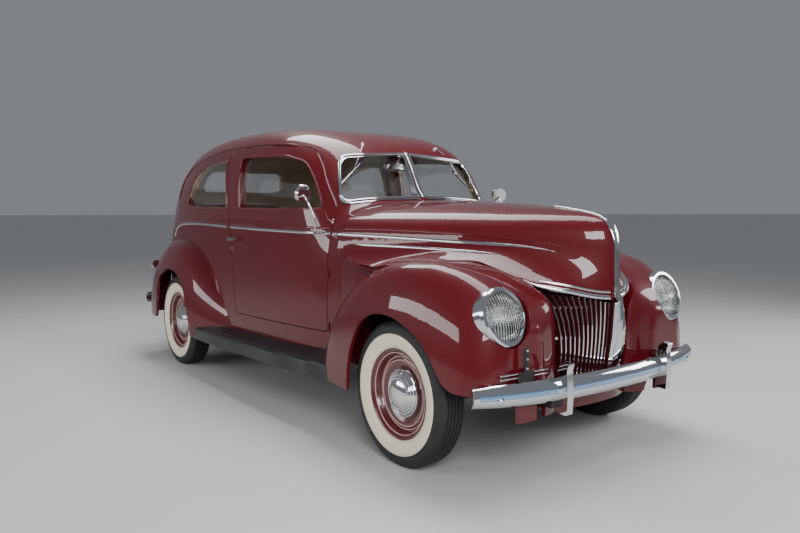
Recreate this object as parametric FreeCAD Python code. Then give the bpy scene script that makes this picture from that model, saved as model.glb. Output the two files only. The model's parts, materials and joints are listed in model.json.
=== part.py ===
import FreeCAD, Part
import os
from math import sin, cos, tan, pi, radians, sqrt

V = FreeCAD.Vector
os.makedirs("parts", exist_ok=True)

# Driving sizes, in millimetres
# X points to the front of the car, Y to its left and Z up, with the ground at zero
wheelbase = 2845.0
front_axle_x = 1545.0
rear_axle_x = front_axle_x - wheelbase
front_track = 1416.0
rear_track = 1480.0
bumper_reach = 2245.0

tyre_radius = 351.0
tyre_width = 160.0
rim_radius = 218.0
axle_z = tyre_radius
kingpin_y = 646.0
spindle_radius = 20.0
spindle_clearance = 0.05

wall = 44.0
panel = 20.0
hood_wall = 20.0
door_gap = 5.0
skirt_z = 385.0
floor_z = 446.0
floor_thickness = 16.0
rear_floor_z = 540.0
rail_inner_y = 380.0
rail_width = 60.0
rail_bottom_z = 330.0
rail_top_z = 440.0
kick_up = 90.0
glass_thickness = 5.0

# Centre line of the body seen from the side: x, z at the top and x at the foot,
# then half width at the foot and the two shape powers of that cross section
body_lines = [
    (880.0, 1262.0, 880.0, 655.0, 11.5, 2.6),
    (835.0, 1270.0, 840.0, 661.0, 10.5, 2.7),
    (775.0, 1302.0, 795.0, 667.0, 8.2, 2.9),
    (690.0, 1436.0, 725.0, 677.0, 5.8, 3.2),
    (594.0, 1582.0, 640.0, 688.0, 6.2, 3.7),
    (450.0, 1672.0, 480.0, 700.0, 7.2, 4.3),
    (230.0, 1733.0, 240.0, 710.0, 8.0, 4.7),
    (-20.0, 1766.0, -20.0, 716.0, 8.4, 4.9),
    (-350.0, 1784.0, -350.0, 720.0, 8.5, 5.0),
    (-700.0, 1784.0, -690.0, 721.0, 8.4, 4.9),
    (-1000.0, 1776.0, -960.0, 718.0, 8.0, 4.7),
    (-1250.0, 1757.0, -1180.0, 712.0, 7.4, 4.4),
    (-1450.0, 1724.0, -1340.0, 705.0, 6.8, 4.0),
    (-1610.0, 1668.0, -1470.0, 697.0, 6.2, 3.7),
    (-1745.0, 1575.0, -1590.0, 687.0, 5.6, 3.5),
    (-1865.0, 1425.0, -1700.0, 673.0, 5.2, 3.3),
    (-1965.0, 1225.0, -1800.0, 655.0, 4.8, 3.1),
    (-2045.0, 1000.0, -1890.0, 628.0, 4.4, 3.0),
    (-2098.0, 770.0, -1970.0, 590.0, 4.0, 2.9),
    (-2120.0, 560.0, -2040.0, 540.0, 3.6, 2.8),
]

# Hood lines at each x: top z, half width at the shoulder, then the seam y and z
hood_lines = [
    (886.0, 1262.0, 640.0, 655.0, 985.0),
    (1050.0, 1261.0, 602.0, 672.0, 938.0),
    (1200.0, 1258.0, 560.0, 664.0, 922.0),
    (1400.0, 1250.0, 492.0, 625.0, 945.0),
    (1600.0, 1239.0, 405.0, 550.0, 968.0),
    (1750.0, 1227.0, 330.0, 462.0, 968.0),
    (1880.0, 1218.0, 252.0, 400.0, 930.0),
    (1980.0, 1207.0, 186.0, 342.0, 880.0),
    (2060.0, 1196.0, 132.0, 262.0, 858.0),
    (2120.0, 1180.0, 88.0, 180.0, 840.0),
    (2165.0, 1153.0, 52.0, 106.0, 824.0),
    (2192.0, 1112.0, 28.0, 52.0, 814.0),
    (2206.0, 1062.0, 12.0, 16.0, 810.0),
]

# Front fender lines at each x: inner y, outer y and top z
front_fender_lines = [
    (905.0, 640.0, 790.0, 500.0),
    (940.0, 625.0, 800.0, 606.0),
    (985.0, 600.0, 808.0, 690.0),
    (1050.0, 570.0, 818.0, 768.0),
    (1125.0, 545.0, 827.0, 832.0),
    (1250.0, 520.0, 840.0, 908.0),
    (1400.0, 500.0, 850.0, 958.0),
    (1550.0, 470.0, 853.0, 984.0),
    (1700.0, 430.0, 846.0, 990.0),
    (1820.0, 380.0, 834.0, 974.0),
    (1920.0, 330.0, 816.0, 942.0),
    (2000.0, 285.0, 795.0, 900.0),
    (2060.0, 262.0, 765.0, 856.0),
    (2090.0, 272.0, 740.0, 822.0),
    (2112.0, 312.0, 712.0, 784.0),
    (2128.0, 385.0, 676.0, 736.0),
    (2138.0, 490.0, 620.0, 670.0),
]

# Rear fender lines at each x: outer y and top z
rear_fender_lines = [
    (-480.0, 728.0, 545.0),
    (-600.0, 752.0, 605.0),
    (-700.0, 786.0, 668.0),
    (-800.0, 822.0, 744.0),
    (-900.0, 850.0, 820.0),
    (-1020.0, 868.0, 896.0),
    (-1160.0, 879.0, 958.0),
    (-1320.0, 882.0, 990.0),
    (-1480.0, 880.0, 990.0),
    (-1640.0, 872.0, 950.0),
    (-1780.0, 856.0, 870.0),
    (-1880.0, 834.0, 770.0),
    (-1945.0, 800.0, 640.0),
    (-1975.0, 762.0, 500.0),
]


def box(x0, x1, y0, y1, z0, z1):
    return Part.makeBox(x1 - x0, y1 - y0, z1 - z0, V(x0, y0, z0))


def rod(a, b, radius):
    a = V(*a)
    b = V(*b)
    return Part.makeCylinder(radius, (b - a).Length, a, b - a)


def fuse(pieces):
    first = pieces[0]
    if len(pieces) > 1:
        first = first.multiFuse(pieces[1:])
    return first.removeSplitter()


def mirrored(shape):
    return shape.mirror(V(0, 0, 0), V(0, 1, 0))


def save(name, shape):
    solids = shape.Solids
    if len(solids) == 1:
        shape = solids[0]
    else:
        shape = Part.makeCompound(solids)
    shape.exportStep("parts/%s.step" % name)
    print(name, len(solids), shape.isValid(), round(shape.Volume / 1e6, 2))


def outline_wire(points, place):
    """Closed wire through the points; a third number rounds that corner."""
    count = len(points)
    entries = []
    for k in range(count):
        now = points[k]
        here = V(now[0], now[1], 0)
        before = V(points[k - 1][0], points[k - 1][1], 0)
        after = V(points[(k + 1) % count][0], points[(k + 1) % count][1], 0)
        reach = now[2] if len(now) > 2 else 0.0
        reach = min(reach, (before - here).Length * 0.48, (after - here).Length * 0.48)
        if reach <= 0.0:
            entries.append((here, None, here))
            continue
        first = here + (before - here).normalize() * reach
        last = here + (after - here).normalize() * reach
        middle = first * 0.25 + here * 0.5 + last * 0.25
        entries.append((first, middle, last))
    edges = []
    for k in range(count):
        first, middle, last = entries[k]
        if middle is not None:
            curve = Part.Arc(place(first), place(middle), place(last))
            edges.append(curve.toShape())
        ahead = entries[(k + 1) % count][0]
        if (ahead - last).Length > 0.01:
            edges.append(Part.makeLine(place(last), place(ahead)))
    return Part.Wire(edges)


def side_prism(points, y0, y1, slope=0.0):
    """Outline in x and z, pulled sideways from y0 to y1."""
    wire = outline_wire(points, lambda p: V(p.x, y0, p.y))
    pull = V(slope * abs(y1 - y0), y1 - y0, 0)
    return Part.Face(wire).extrude(pull)


def front_prism(points, x0, x1):
    """Outline in y and z, pulled forward from x0 to x1."""
    wire = outline_wire(points, lambda p: V(x0, p.x, p.y))
    return Part.Face(wire).extrude(V(x1 - x0, 0, 0))


def top_prism(points, z0, z1):
    """Outline in x and y, pulled up from z0 to z1."""
    wire = outline_wire(points, lambda p: V(p.x, p.y, z0))
    return Part.Face(wire).extrude(V(0, 0, z1 - z0))


def turned(points, centre, axis):
    """Profile of (radius, distance) pairs turned about a line through centre."""
    side = V(0, 0, 1) if abs(axis.z) < 0.5 else V(1, 0, 0)
    side = side - axis * side.dot(axis)
    side.normalize()
    corners = [centre + side * r + axis * d for r, d in points]
    wire = Part.makePolygon(corners + [corners[0]])
    return Part.Face(wire).revolve(centre, axis, 360)


def closed_skin(rows):
    """Solid under a smooth skin through rows of points, with flat ends and foot."""
    surface = Part.BSplineSurface()
    surface.interpolate(rows)
    u0, u1, v0, v1 = surface.bounds()
    side = surface.toShape()
    start = surface.uIso(u0).toShape()
    end = surface.uIso(u1).toShape()
    right = surface.vIso(v0).toShape()
    left = surface.vIso(v1).toShape()
    if (surface.value(u0, v1) - rows[0][-1]).Length > 0.01:
        raise ValueError("rows run the other way")
    start_cap = Part.Face(Part.Wire([start, Part.makeLine(rows[0][-1], rows[0][0])]))
    end_cap = Part.Face(Part.Wire([end, Part.makeLine(rows[-1][-1], rows[-1][0])]))
    foot = Part.makeRuledSurface(right, left)
    shell = Part.Shell([side, start_cap, end_cap, foot])
    shell.sewShape()
    solid = Part.makeSolid(shell)
    if solid.Volume < 0:
        solid.reverse()
    return solid


def thick_skin(rows, thickness):
    """Sheet of the given thickness per row, inside a smooth skin through the rows."""
    inner = []
    last_row = len(rows) - 1
    for i in range(last_row + 1):
        line = []
        last = len(rows[i]) - 1
        for j in range(last + 1):
            along = rows[min(i + 1, last_row)][j] - rows[max(i - 1, 0)][j]
            across = rows[i][min(j + 1, last)] - rows[i][max(j - 1, 0)]
            normal = across.cross(along).normalize()
            line.append(rows[i][j] - normal * thickness[i])
        inner.append(line)
    outer_skin = Part.BSplineSurface()
    outer_skin.interpolate(rows)
    inner_skin = Part.BSplineSurface()
    inner_skin.interpolate(inner)
    faces = [outer_skin.toShape(), inner_skin.toShape()]
    a = outer_skin.bounds()
    b = inner_skin.bounds()
    faces.append(Part.makeRuledSurface(outer_skin.uIso(a[0]).toShape(), inner_skin.uIso(b[0]).toShape()))
    faces.append(Part.makeRuledSurface(outer_skin.uIso(a[1]).toShape(), inner_skin.uIso(b[1]).toShape()))
    faces.append(Part.makeRuledSurface(outer_skin.vIso(a[2]).toShape(), inner_skin.vIso(b[2]).toShape()))
    faces.append(Part.makeRuledSurface(outer_skin.vIso(a[3]).toShape(), inner_skin.vIso(b[3]).toShape()))
    shell = Part.Shell(faces)
    shell.sewShape()
    solid = Part.makeSolid(shell)
    if solid.Volume < 0:
        solid.reverse()
    return solid


def spread(dense, count):
    """Points evenly spaced by length along a dense line."""
    lengths = [0.0]
    for a, b in zip(dense, dense[1:]):
        lengths.append(lengths[-1] + (b - a).Length)
    picked = []
    k = 0
    for i in range(count):
        want = lengths[-1] * i / (count - 1)
        while k < len(dense) - 2 and lengths[k + 1] < want:
            k += 1
        share = (want - lengths[k]) / max(lengths[k + 1] - lengths[k], 1e-9)
        picked.append(dense[k] + (dense[k + 1] - dense[k]) * share)
    return picked


def stations(table, count, reach):
    """The table's lines at evenly spaced stations, with no overshoot between them."""
    places = [0.0]
    for a, b in zip(table, table[1:]):
        step = sqrt(sum((a[c] - b[c]) ** 2 for c in reach))
        places.append(places[-1] + step)
    last = len(table) - 1
    result = []
    for i in range(count):
        want = places[-1] * i / (count - 1)
        k = 0
        while k < last - 1 and places[k + 1] < want:
            k += 1
        gap = places[k + 1] - places[k]
        t = (want - places[k]) / gap
        row = []
        for c in range(len(table[0])):
            slopes = []
            for m in (k, k + 1):
                here = max(1, min(m, last - 1))
                before = (table[here][c] - table[here - 1][c]) / (places[here] - places[here - 1])
                after = (table[here + 1][c] - table[here][c]) / (places[here + 1] - places[here])
                if m == 0:
                    slopes.append(before)
                elif m == last:
                    slopes.append(after)
                elif before * after <= 0:
                    slopes.append(0.0)
                else:
                    slopes.append(2.0 * before * after / (before + after))
            a = table[k][c]
            b = table[k + 1][c]
            value = a * (1 + 2 * t) * (1 - t) ** 2 + b * t * t * (3 - 2 * t)
            value += gap * (slopes[0] * t * (1 - t) ** 2 - slopes[1] * t * t * (1 - t))
            row.append(value)
        result.append(tuple(row))
    return result


body_stations = stations(body_lines, 28, (0, 1))
hood_stations = stations(hood_lines, 19, (0, 1, 2))
front_fender_stations = stations(front_fender_lines, 22, (0, 2, 3))
rear_fender_stations = stations(rear_fender_lines, 20, (0, 1, 2))


def body_form(depth, foot_z=skirt_z):
    """The closed form of the cabin, moved inward by the given depth."""
    rows = []
    last = len(body_stations) - 1
    for i in range(last + 1):
        x_top, z_top, x_foot, half, n, m = body_stations[i]
        before = body_stations[max(i - 1, 0)]
        after = body_stations[min(i + 1, last)]
        along = V(after[0] - before[0], 0, after[1] - before[1]).normalize()
        inward = V(along.z, 0, -along.x)
        if inward.z > 0 and i < last:
            inward = -inward
        top = V(x_top, 0, z_top) + inward * depth
        tail = max(0.0, (-x_foot - 900.0) / 1140.0)
        foot = V(x_foot + depth * tail, 0, foot_z)
        if i == 0:
            top.x = x_top + depth
            foot.x = x_foot + depth
        w = half - depth
        dense = []
        for k in range(161):
            turn = pi / 2 * k / 160
            f = sin(turn) ** (2.0 / n)
            g = cos(turn) ** (2.0 / m)
            point = foot + (top - foot) * f
            dense.append(V(point.x, -w * g, point.z))
        half_row = spread(dense, 15)
        half_row[-1].y = 0.0
        mirror_row = [V(p.x, -p.y, p.z) for p in reversed(half_row[:-1])]
        rows.append(half_row + mirror_row)
    return closed_skin(rows)


def hood_rows(depth, foot_drop=0.0, widen=0.0):
    """Rows of points over the hood, from the right seam to the left."""
    rows = []
    for x, top, half, seam_y, seam_z in hood_stations:
        near_nose = max(0.0, (x - 2000.0) / 206.0)
        x = x - depth * near_nose
        top = top - depth
        half = max(half - depth + widen, 3.0 + widen)
        seam_y = max(seam_y - depth + widen, 3.2 + widen)
        shoulder = 1085.0 - 40.0 * near_nose
        half_row = []
        if foot_drop > 0:
            half_row.append(V(x, -seam_y, seam_z - foot_drop))
        for t in (0.0, 0.14, 0.32, 0.55, 0.78):
            bend = (1 - t) ** 2.4
            y = half + (seam_y - half) * bend
            half_row.append(V(x, -y, seam_z + (shoulder - seam_z) * t))
        for k in range(9):
            turn = pi / 2 * k / 8
            f = sin(turn) ** (2.0 / 2.3)
            g = cos(turn) ** (2.0 / 2.3)
            half_row.append(V(x, -half * g, shoulder + (top - shoulder) * f))
        half_row[-1].y = 0.0
        mirror_row = [V(p.x, -p.y, p.z) for p in reversed(half_row[:-1])]
        rows.append(half_row + mirror_row)
    return rows


def front_fender_form(depth):
    """Right front fender as a closed form, moved inward by the given depth."""
    rows = []
    middle_x = 1600.0
    for x, inner, outer, top in front_fender_stations:
        ahead = max(0.0, (x - middle_x) / 540.0)
        behind = max(0.0, (middle_x - x) / 700.0)
        x = x - depth * ahead ** 3 + depth * behind ** 3
        centre = (inner + outer) / 2
        half = (outer - inner) / 2 - depth
        dense = []
        for k in range(241):
            turn = pi * k / 240
            c = cos(turn)
            side = -1 if c > 0 else 1
            fall, round_over = (2.6, 3.4) if c > 0 else (9.0, 6.5)
            g = abs(c) ** (2.0 / fall)
            f = sin(turn) ** (2.0 / round_over)
            y = -centre + side * half * g
            dense.append(V(x, y, 280.0 - depth * 0.3 + (top - depth * 0.7 - 280.0) * f))
        rows.append(spread(dense, 27))
    return closed_skin(rows)


def rear_fender_form(depth):
    """Right rear fender as a closed form, moved inward by the given depth."""
    rows = []
    middle_x = -1300.0
    for x, outer, top in rear_fender_stations:
        ahead = max(0.0, (x - middle_x) / 820.0)
        behind = max(0.0, (middle_x - x) / 675.0)
        x = x - depth * ahead ** 3 + depth * behind ** 3
        inner = 420.0
        centre = (inner + outer) / 2
        half = (outer - inner) / 2 - depth
        dense = []
        for k in range(241):
            turn = pi * k / 240
            c = cos(turn)
            g = abs(c) ** (2.0 / 2.6)
            f = sin(turn) ** (2.0 / 3.2)
            side = -1 if c > 0 else 1
            y = -centre + side * half * g
            dense.append(V(x, y, 280.0 + (top - depth - 280.0) * f))
        rows.append(spread(dense, 23))
    return closed_skin(rows)


# Cabin, doors, glass and lid all come out of one form, so their faces run flush
cabin_outer = body_form(0.0)
cabin_inner = body_form(wall, skirt_z - 30.0)
cabin_wall = cabin_outer.cut(cabin_inner)

door_outline = [
    (747.0, 528.0, 22.0),
    (747.0, 1108.0),
    (722.0, 1216.0, 60.0),
    (560.0, 1490.0, 70.0),
    (430.0, 1606.0, 110.0),
    (150.0, 1632.0, 120.0),
    (-300.0, 1643.0, 60.0),
    (-545.0, 1645.0, 60.0),
    (-488.0, 1240.0, 90.0),
    (-476.0, 1100.0, 90.0),
    (-400.0, 506.0, 30.0),
]
door_window = [
    (660.0, 1238.0, 34.0),
    (566.0, 1400.0, 60.0),
    (440.0, 1524.0, 90.0),
    (205.0, 1553.0, 120.0),
    (-330.0, 1572.0, 40.0),
    (-304.0, 1238.0, 30.0),
]
quarter_window = [
    (-526.0, 1240.0, 26.0),
    (-572.0, 1563.0, 40.0),
    (-880.0, 1566.0, 160.0),
    (-1180.0, 1470.0, 130.0),
    (-1318.0, 1296.0, 50.0),
    (-1232.0, 1248.0, 50.0),
]
windscreen_outline = [
    (26.0, 1302.0, 18.0),
    (300.0, 1296.0),
    (548.0, 1272.0, 40.0),
    (520.0, 1420.0),
    (478.0, 1540.0, 60.0),
    (26.0, 1574.0, 18.0),
]
rear_window = [
    (-385.0, 1372.0, 70.0),
    (-360.0, 1545.0, 80.0),
    (360.0, 1545.0, 80.0),
    (385.0, 1372.0, 70.0),
]
lid_outline = [
    (-470.0, 640.0, 60.0),
    (-430.0, 1270.0, 90.0),
    (430.0, 1270.0, 90.0),
    (470.0, 640.0, 60.0),
]
grille_outline = [
    (0.0, 450.0),
    (254.0, 428.0, 20.0),
    (266.0, 628.0),
    (276.0, 757.0, 40.0),
    (352.0, 884.0, 12.0),
    (180.0, 842.0),
    (0.0, 806.0),
]
front_arch = [
    (1195.0, 200.0),
    (1195.0, 470.0, 160.0),
    (1330.0, 712.0, 130.0),
    (1560.0, 752.0, 160.0),
    (1800.0, 660.0, 120.0),
    (1940.0, 452.0, 60.0),
    (2160.0, 440.0),
    (2160.0, 200.0),
]
rear_arch = [
    (-920.0, 200.0),
    (-955.0, 400.0, 150.0),
    (-1075.0, 690.0, 140.0),
    (-1340.0, 775.0, 200.0),
    (-1590.0, 690.0, 160.0),
    (-1640.0, 340.0, 40.0),
    (-2100.0, 345.0),
    (-2100.0, 200.0),
]
door_slope = 0.10
door_start_y = -900.0
door_face_y = -715.0


def grown(points, reach):
    """The outline with every side moved outward by reach."""
    count = len(points)
    area = 0.0
    for k in range(count):
        a = points[k - 1]
        b = points[k]
        area += a[0] * b[1] - b[0] * a[1]
    sign = 1.0 if area > 0 else -1.0
    moved = []
    for k in range(count):
        a = V(points[k - 1][0], points[k - 1][1], 0)
        b = V(points[k][0], points[k][1], 0)
        c = V(points[(k + 1) % count][0], points[(k + 1) % count][1], 0)
        first = (b - a).normalize()
        second = (c - b).normalize()
        out = V(first.y, -first.x, 0) * sign + V(second.y, -second.x, 0) * sign
        out = out * (1.0 / (1.0 + first.dot(second)))
        b = b + out * reach
        moved.append((b.x, b.y) + tuple(points[k][2:]))
    return moved


def side_cut(points, reach, slope=0.0, depth=560.0):
    """Right side cutting block; the outline is true at the door's face."""
    shift = slope * (door_face_y - door_start_y)
    place = lambda p: V(p.x - shift, door_start_y, p.y)
    wire = outline_wire(grown(points, reach), place)
    return Part.Face(wire).extrude(V(slope * depth, depth, 0))


def end_cut(points, reach, x0, x1):
    wire = outline_wire(grown(points, reach), lambda p: V(x0, p.x, p.y))
    return Part.Face(wire).extrude(V(x1 - x0, 0, 0))


# Doors, cut from the cabin wall, with a frame left round each window
door_block = side_cut(door_outline, 0.0, door_slope, 340.0)
door_plug = side_cut(door_outline, -door_gap, door_slope, 335.0)
door_right = cabin_wall.common(door_plug)
door_hole = side_cut(door_window, 0.0)
door_right = door_right.cut(door_hole)

glass_band = body_form(18.0).cut(body_form(18.0 + glass_thickness))
door_glass_right = glass_band.common(side_cut(door_window, 9.0))
door_right = door_right.cut(door_glass_right)

body = cabin_wall.cut(door_block)
body = body.cut(mirrored(door_block))

quarter_hole = side_cut(quarter_window, 0.0)
quarter_glass = glass_band.common(side_cut(quarter_window, 9.0))
rear_hole = end_cut(rear_window, 0.0, -2100.0, -1500.0)
rear_glass = glass_band.common(end_cut(rear_window, 9.0, -2100.0, -1500.0))

# Windscreen: two flat panes in a shallow vee, in a bright frame
vee_foot = V(772.0, 0, 1294.0)
vee_side = V(700.0, -536.0, 1267.0)
vee_head = V(588.0, 0, 1580.0)
vee_normal = (vee_side - vee_foot).cross(vee_head - vee_foot).normalize()
if vee_normal.x < 0:
    vee_normal = -vee_normal
windscreen_half = [(-y, z, r[0]) if r else (-y, z) for y, z, *r in windscreen_outline]
screen_hole = end_cut(windscreen_half, 0.0, 400.0, 900.0)
pane_face = outline_wire(
    [(-900, -900), (900, -900), (900, 900), (-900, 900)],
    lambda p: V(p.x, p.y, 0),
)
pane_slab = Part.Face(pane_face).extrude(V(0, 0, glass_thickness))
turn = FreeCAD.Rotation(V(0, 0, 1), vee_normal)
pane_slab.Placement = FreeCAD.Placement(vee_foot - vee_normal * 16.0, turn)
pane = pane_slab.common(end_cut(windscreen_half, 8.0, 400.0, 900.0))
ring = end_cut(windscreen_half, 11.0, 400.0, 900.0)
ring = ring.cut(end_cut(windscreen_half, -5.0, 400.0, 900.0))
ring_band = body_form(-5.0).cut(body_form(30.0))
ring = ring.common(ring_band)
ring = ring.cut(pane)
windscreen_frame = ring
screen_recess = end_cut(windscreen_half, 11.0, 400.0, 900.0)
for hole in [screen_recess, quarter_hole, quarter_glass]:
    body = body.cut(hole)
    body = body.cut(mirrored(hole))
body = body.cut(rear_hole)
body = body.cut(rear_glass)

# Boot lid
lid_block = end_cut(lid_outline, 0.0, -2300.0, -1700.0)
lid_plug = end_cut(lid_outline, -door_gap, -2300.0, -1700.0)
trunk_lid = cabin_wall.common(lid_plug)
body = body.cut(lid_block)

# The frame's tail ends pass out under the boot
for y in (-446.0, 374.0):
    body = body.cut(box(-2300.0, -1900.0, y, y + 72.0, 200.0, 486.0))

# Rear wheels stand partly inside the body side
wheel_pit = Part.makeCylinder(
    412.0, 300.0, V(rear_axle_x, -900.0, axle_z), V(0, 1, 0)
)
body = body.cut(wheel_pit)
body = body.cut(mirrored(wheel_pit))
body = max(body.Solids, key=lambda piece: piece.Volume)
save("body_shell", body)
save("door_right", door_right)
save("door_left", mirrored(door_right))
save("door_glass_right", door_glass_right)
save("door_glass_left", mirrored(door_glass_right))
save("trunk_lid", trunk_lid)
save("windscreen_frame", Part.makeCompound([ring, mirrored(ring)]))
save("fixed_glass", Part.makeCompound(
    [pane, mirrored(pane), quarter_glass, mirrored(quarter_glass), rear_glass]
))

hood_sheet = [min(hood_wall, 0.3 * half) for x, top, half, y, z in hood_stations]
hood = thick_skin(hood_rows(0.0), hood_sheet)
save("hood", hood)

fender = front_fender_form(0.0).cut(front_fender_form(panel))
under_hood = [(x, -(y + 5.0)) for x, top, half, y, z in hood_stations]
fore = [k for k, point in enumerate(under_hood) if point[0] > 1960.0][0]
behind = under_hood[:fore + 1]
tunnel = top_prism(
    [(860.0, -658.0)] + behind + [(x, -y) for x, y in reversed(behind)] + [(860.0, 658.0)],
    200.0, 1400.0,
)
ahead = under_hood[fore:]
nose_tunnel = top_prism(ahead + [(x, -y) for x, y in reversed(ahead)], 700.0, 1400.0)
lip_drop = [(1940.0, 884.0), (1980.0, 873.0), (2060.0, 850.0), (2120.0, 832.0), (2210.0, 801.0)]
nose_tunnel = nose_tunnel.common(side_prism(lip_drop + [(2210.0, 1500.0), (1940.0, 1500.0)], -700.0, 700.0))
fan_room = box(1900.0, 2035.0, -372.0, 372.0, 200.0, 740.0)
horn_room = box(1950.0, 2300.0, -446.0, -374.0, 200.0, 476.0)
grille_hole = end_cut(grille_outline, 2.0, 1850.0, 2300.0)
grille_hole = grille_hole.fuse(mirrored(grille_hole))
arch = side_prism(front_arch, -1000.0, -560.0)
low = box(800.0, 2300.0, -1000.0, 0.0, 200.0, 310.0)
fender = fender.cut(tunnel).cut(nose_tunnel).cut(grille_hole).cut(arch).cut(low)
fender = fender.cut(fan_room).cut(horn_room)
hood_swell = hood.copy()
hood_swell.translate(V(0, -5.0, 0))
fender = fender.cut(hood_swell)
fender = max(fender.Solids, key=lambda piece: piece.Volume)
save("front_fender_right", fender)
save("front_fender_left", mirrored(fender))

rear = rear_fender_form(0.0).cut(rear_fender_form(panel))
rear = rear.cut(cabin_outer).cut(side_prism(rear_arch, -1000.0, -450.0))
rear = rear.cut(box(-2100.0, -400.0, -1000.0, -420.0, 200.0, 315.0))
rear = rear.cut(box(-2300.0, -400.0, -640.0, 0.0, 200.0, 1200.0))
rear = max(rear.Solids, key=lambda piece: piece.Volume)
save("rear_fender_right", rear)
save("rear_fender_left", mirrored(rear))

# Running boards, with a ribbed top left to the finish and a deep outer skirt
def board_profile(x, outer, drop):
    inner_z = 425.0 - drop
    outer_z = 406.0 - drop
    points = [
        (-640.0, inner_z + 22.0),
        (-712.0, inner_z),
        (-outer + 38.0, outer_z, 12.0),
        (-outer + 4.0, outer_z - 18.0, 14.0),
        (-outer, outer_z - 98.0),
        (-outer + 10.0, outer_z - 98.0),
        (-outer + 18.0, outer_z - 34.0),
        (-712.0, inner_z - 24.0),
        (-640.0, inner_z - 4.0),
    ]
    return outline_wire(points, lambda p: V(x, p.x, p.y))


board = Part.makeLoft([
    board_profile(-890.0, 846.0, 38.0), board_profile(-520.0, 858.0, 30.6), board_profile(-150.0, 860.0, 23.2),
    board_profile(300.0, 850.0, 14.2), board_profile(650.0, 830.0, 7.2), board_profile(1000.0, 802.0, 0.0),
], True, True)
board = board.cut(cabin_outer)
board = board.cut(front_fender_form(0.0)).cut(rear_fender_form(0.0))
board = max(board.Solids, key=lambda piece: piece.Volume)
board_stays = [
    box(x - 20.0, x + 20.0, -780.0, -(rail_inner_y + rail_width), 345.0, 357.0)
    for x in (-380.0, 50.0, 600.0)
]
save("running_boards", Part.makeCompound([board, mirrored(board)]))

# Ladder frame with a kick up over the rear axle
rail_line = [
    (2080.0, rail_bottom_z), (-820.0, rail_bottom_z), (-1010.0, rail_bottom_z + kick_up),
    (-1620.0, rail_bottom_z + kick_up), (-1800.0, rail_bottom_z + 40.0),
    (-2140.0, rail_bottom_z + 40.0), (-2140.0, rail_top_z + 40.0),
    (-1800.0, rail_top_z + 40.0), (-1620.0, rail_top_z + kick_up),
    (-1010.0, rail_top_z + kick_up), (-820.0, rail_top_z), (2080.0, rail_top_z),
]
rail_outer_y = rail_inner_y + rail_width
rail = side_prism(rail_line, -rail_outer_y, -rail_inner_y)
cross_pieces = []
for x, low, high in [
    (1930.0, 360.0, 440.0), (1545.0, 372.0, 440.0), (930.0, 400.0, 440.0),
    (-760.0, 340.0, 430.0), (-1300.0, 470.0, 530.0), (-1960.0, 380.0, 470.0),
]:
    cross_pieces.append(box(x - 35.0, x + 35.0, -rail_inner_y, rail_inner_y, low, high))
horns = []
for side in (-1, 1):
    y0, y1 = sorted((side * 392.0, side * 428.0))
    horns.append(box(2060.0, 2190.0, y0, y1, 372.0, 420.0))
    horns.append(box(2180.0, 2204.0, y0, y1, 372.0, 470.0))
    horns.append(box(-2204.0, -2120.0, y0, y1, 400.0, 450.0))
jack_pad = box(140.0, 260.0, -rail_outer_y, -rail_inner_y, rail_bottom_z - 12.0, rail_bottom_z)
frame_pieces = [rail, mirrored(rail), jack_pad, mirrored(jack_pad)] + horns
frame_pieces += board_stays + [mirrored(stay) for stay in board_stays]
rails = fuse(frame_pieces)
frame = fuse([rails] + cross_pieces)

# Bumpers: a bar of convex section bowed in plan, with two upright guards
def bumper(front, tip_back, half_span, guard_y):
    wires = []
    for k in range(13):
        y = -half_span + 2 * half_span * k / 12
        share = abs(y) / half_span
        x = front - tip_back * share ** 2.4
        lean = tip_back * 2.4 * share ** 1.4 / half_span * (1 if y > 0 else -1)
        along = V(-lean, 1, 0).normalize()
        out = V(along.y, -along.x, 0)
        tall = 52.0 - 10.0 * share ** 6
        middle = V(x, y, 452.0)
        face = [(-14.0, -tall), (6.0, -tall * 0.55), (12.0, 0.0), (6.0, tall * 0.55), (-14.0, tall)]
        front_curve = Part.BSplineCurve()
        front_curve.interpolate([middle + out * d + V(0, 0, z) for d, z in face])
        back_curve = Part.BSplineCurve()
        back = [(d - 9.0, z * 0.985) for d, z in reversed(face)]
        back_curve.interpolate([middle + out * d + V(0, 0, z) for d, z in back])
        first = middle + out * face[-1][0] + V(0, 0, face[-1][1])
        second = middle + out * back[0][0] + V(0, 0, back[0][1])
        third = middle + out * back[-1][0] + V(0, 0, back[-1][1])
        fourth = middle + out * face[0][0] + V(0, 0, face[0][1])
        wires.append(Part.Wire([
            front_curve.toShape(), Part.makeLine(first, second),
            back_curve.toShape(), Part.makeLine(third, fourth),
        ]))
    bar = Part.makeLoft(wires, True, False)
    guards = []
    for side in (-1, 1):
        y = side * guard_y
        x = front - tip_back * (guard_y / half_span) ** 2.4
        profile = [
            (x - 24.0, 350.0), (x + 34.0, 343.0, 10.0), (x + 40.0, 450.0, 60.0),
            (x + 30.0, 540.0, 40.0), (x + 44.0, 572.0, 10.0), (x + 6.0, 578.0, 10.0), (x - 22.0, 540.0, 20.0),
        ]
        guards.append(side_prism(profile, y - 19.0, y + 19.0))
    return fuse([bar] + guards)


front_bumper = bumper(bumper_reach, 134.0, 800.0, 371.0).cut(frame)
save("front_bumper", front_bumper)
rear_bumper = bumper(bumper_reach, 134.0, 800.0, 371.0)
rear_bumper = rear_bumper.mirror(V(0, 0, 0), V(1, 0, 0)).cut(frame)
save("rear_bumper", rear_bumper)

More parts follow.
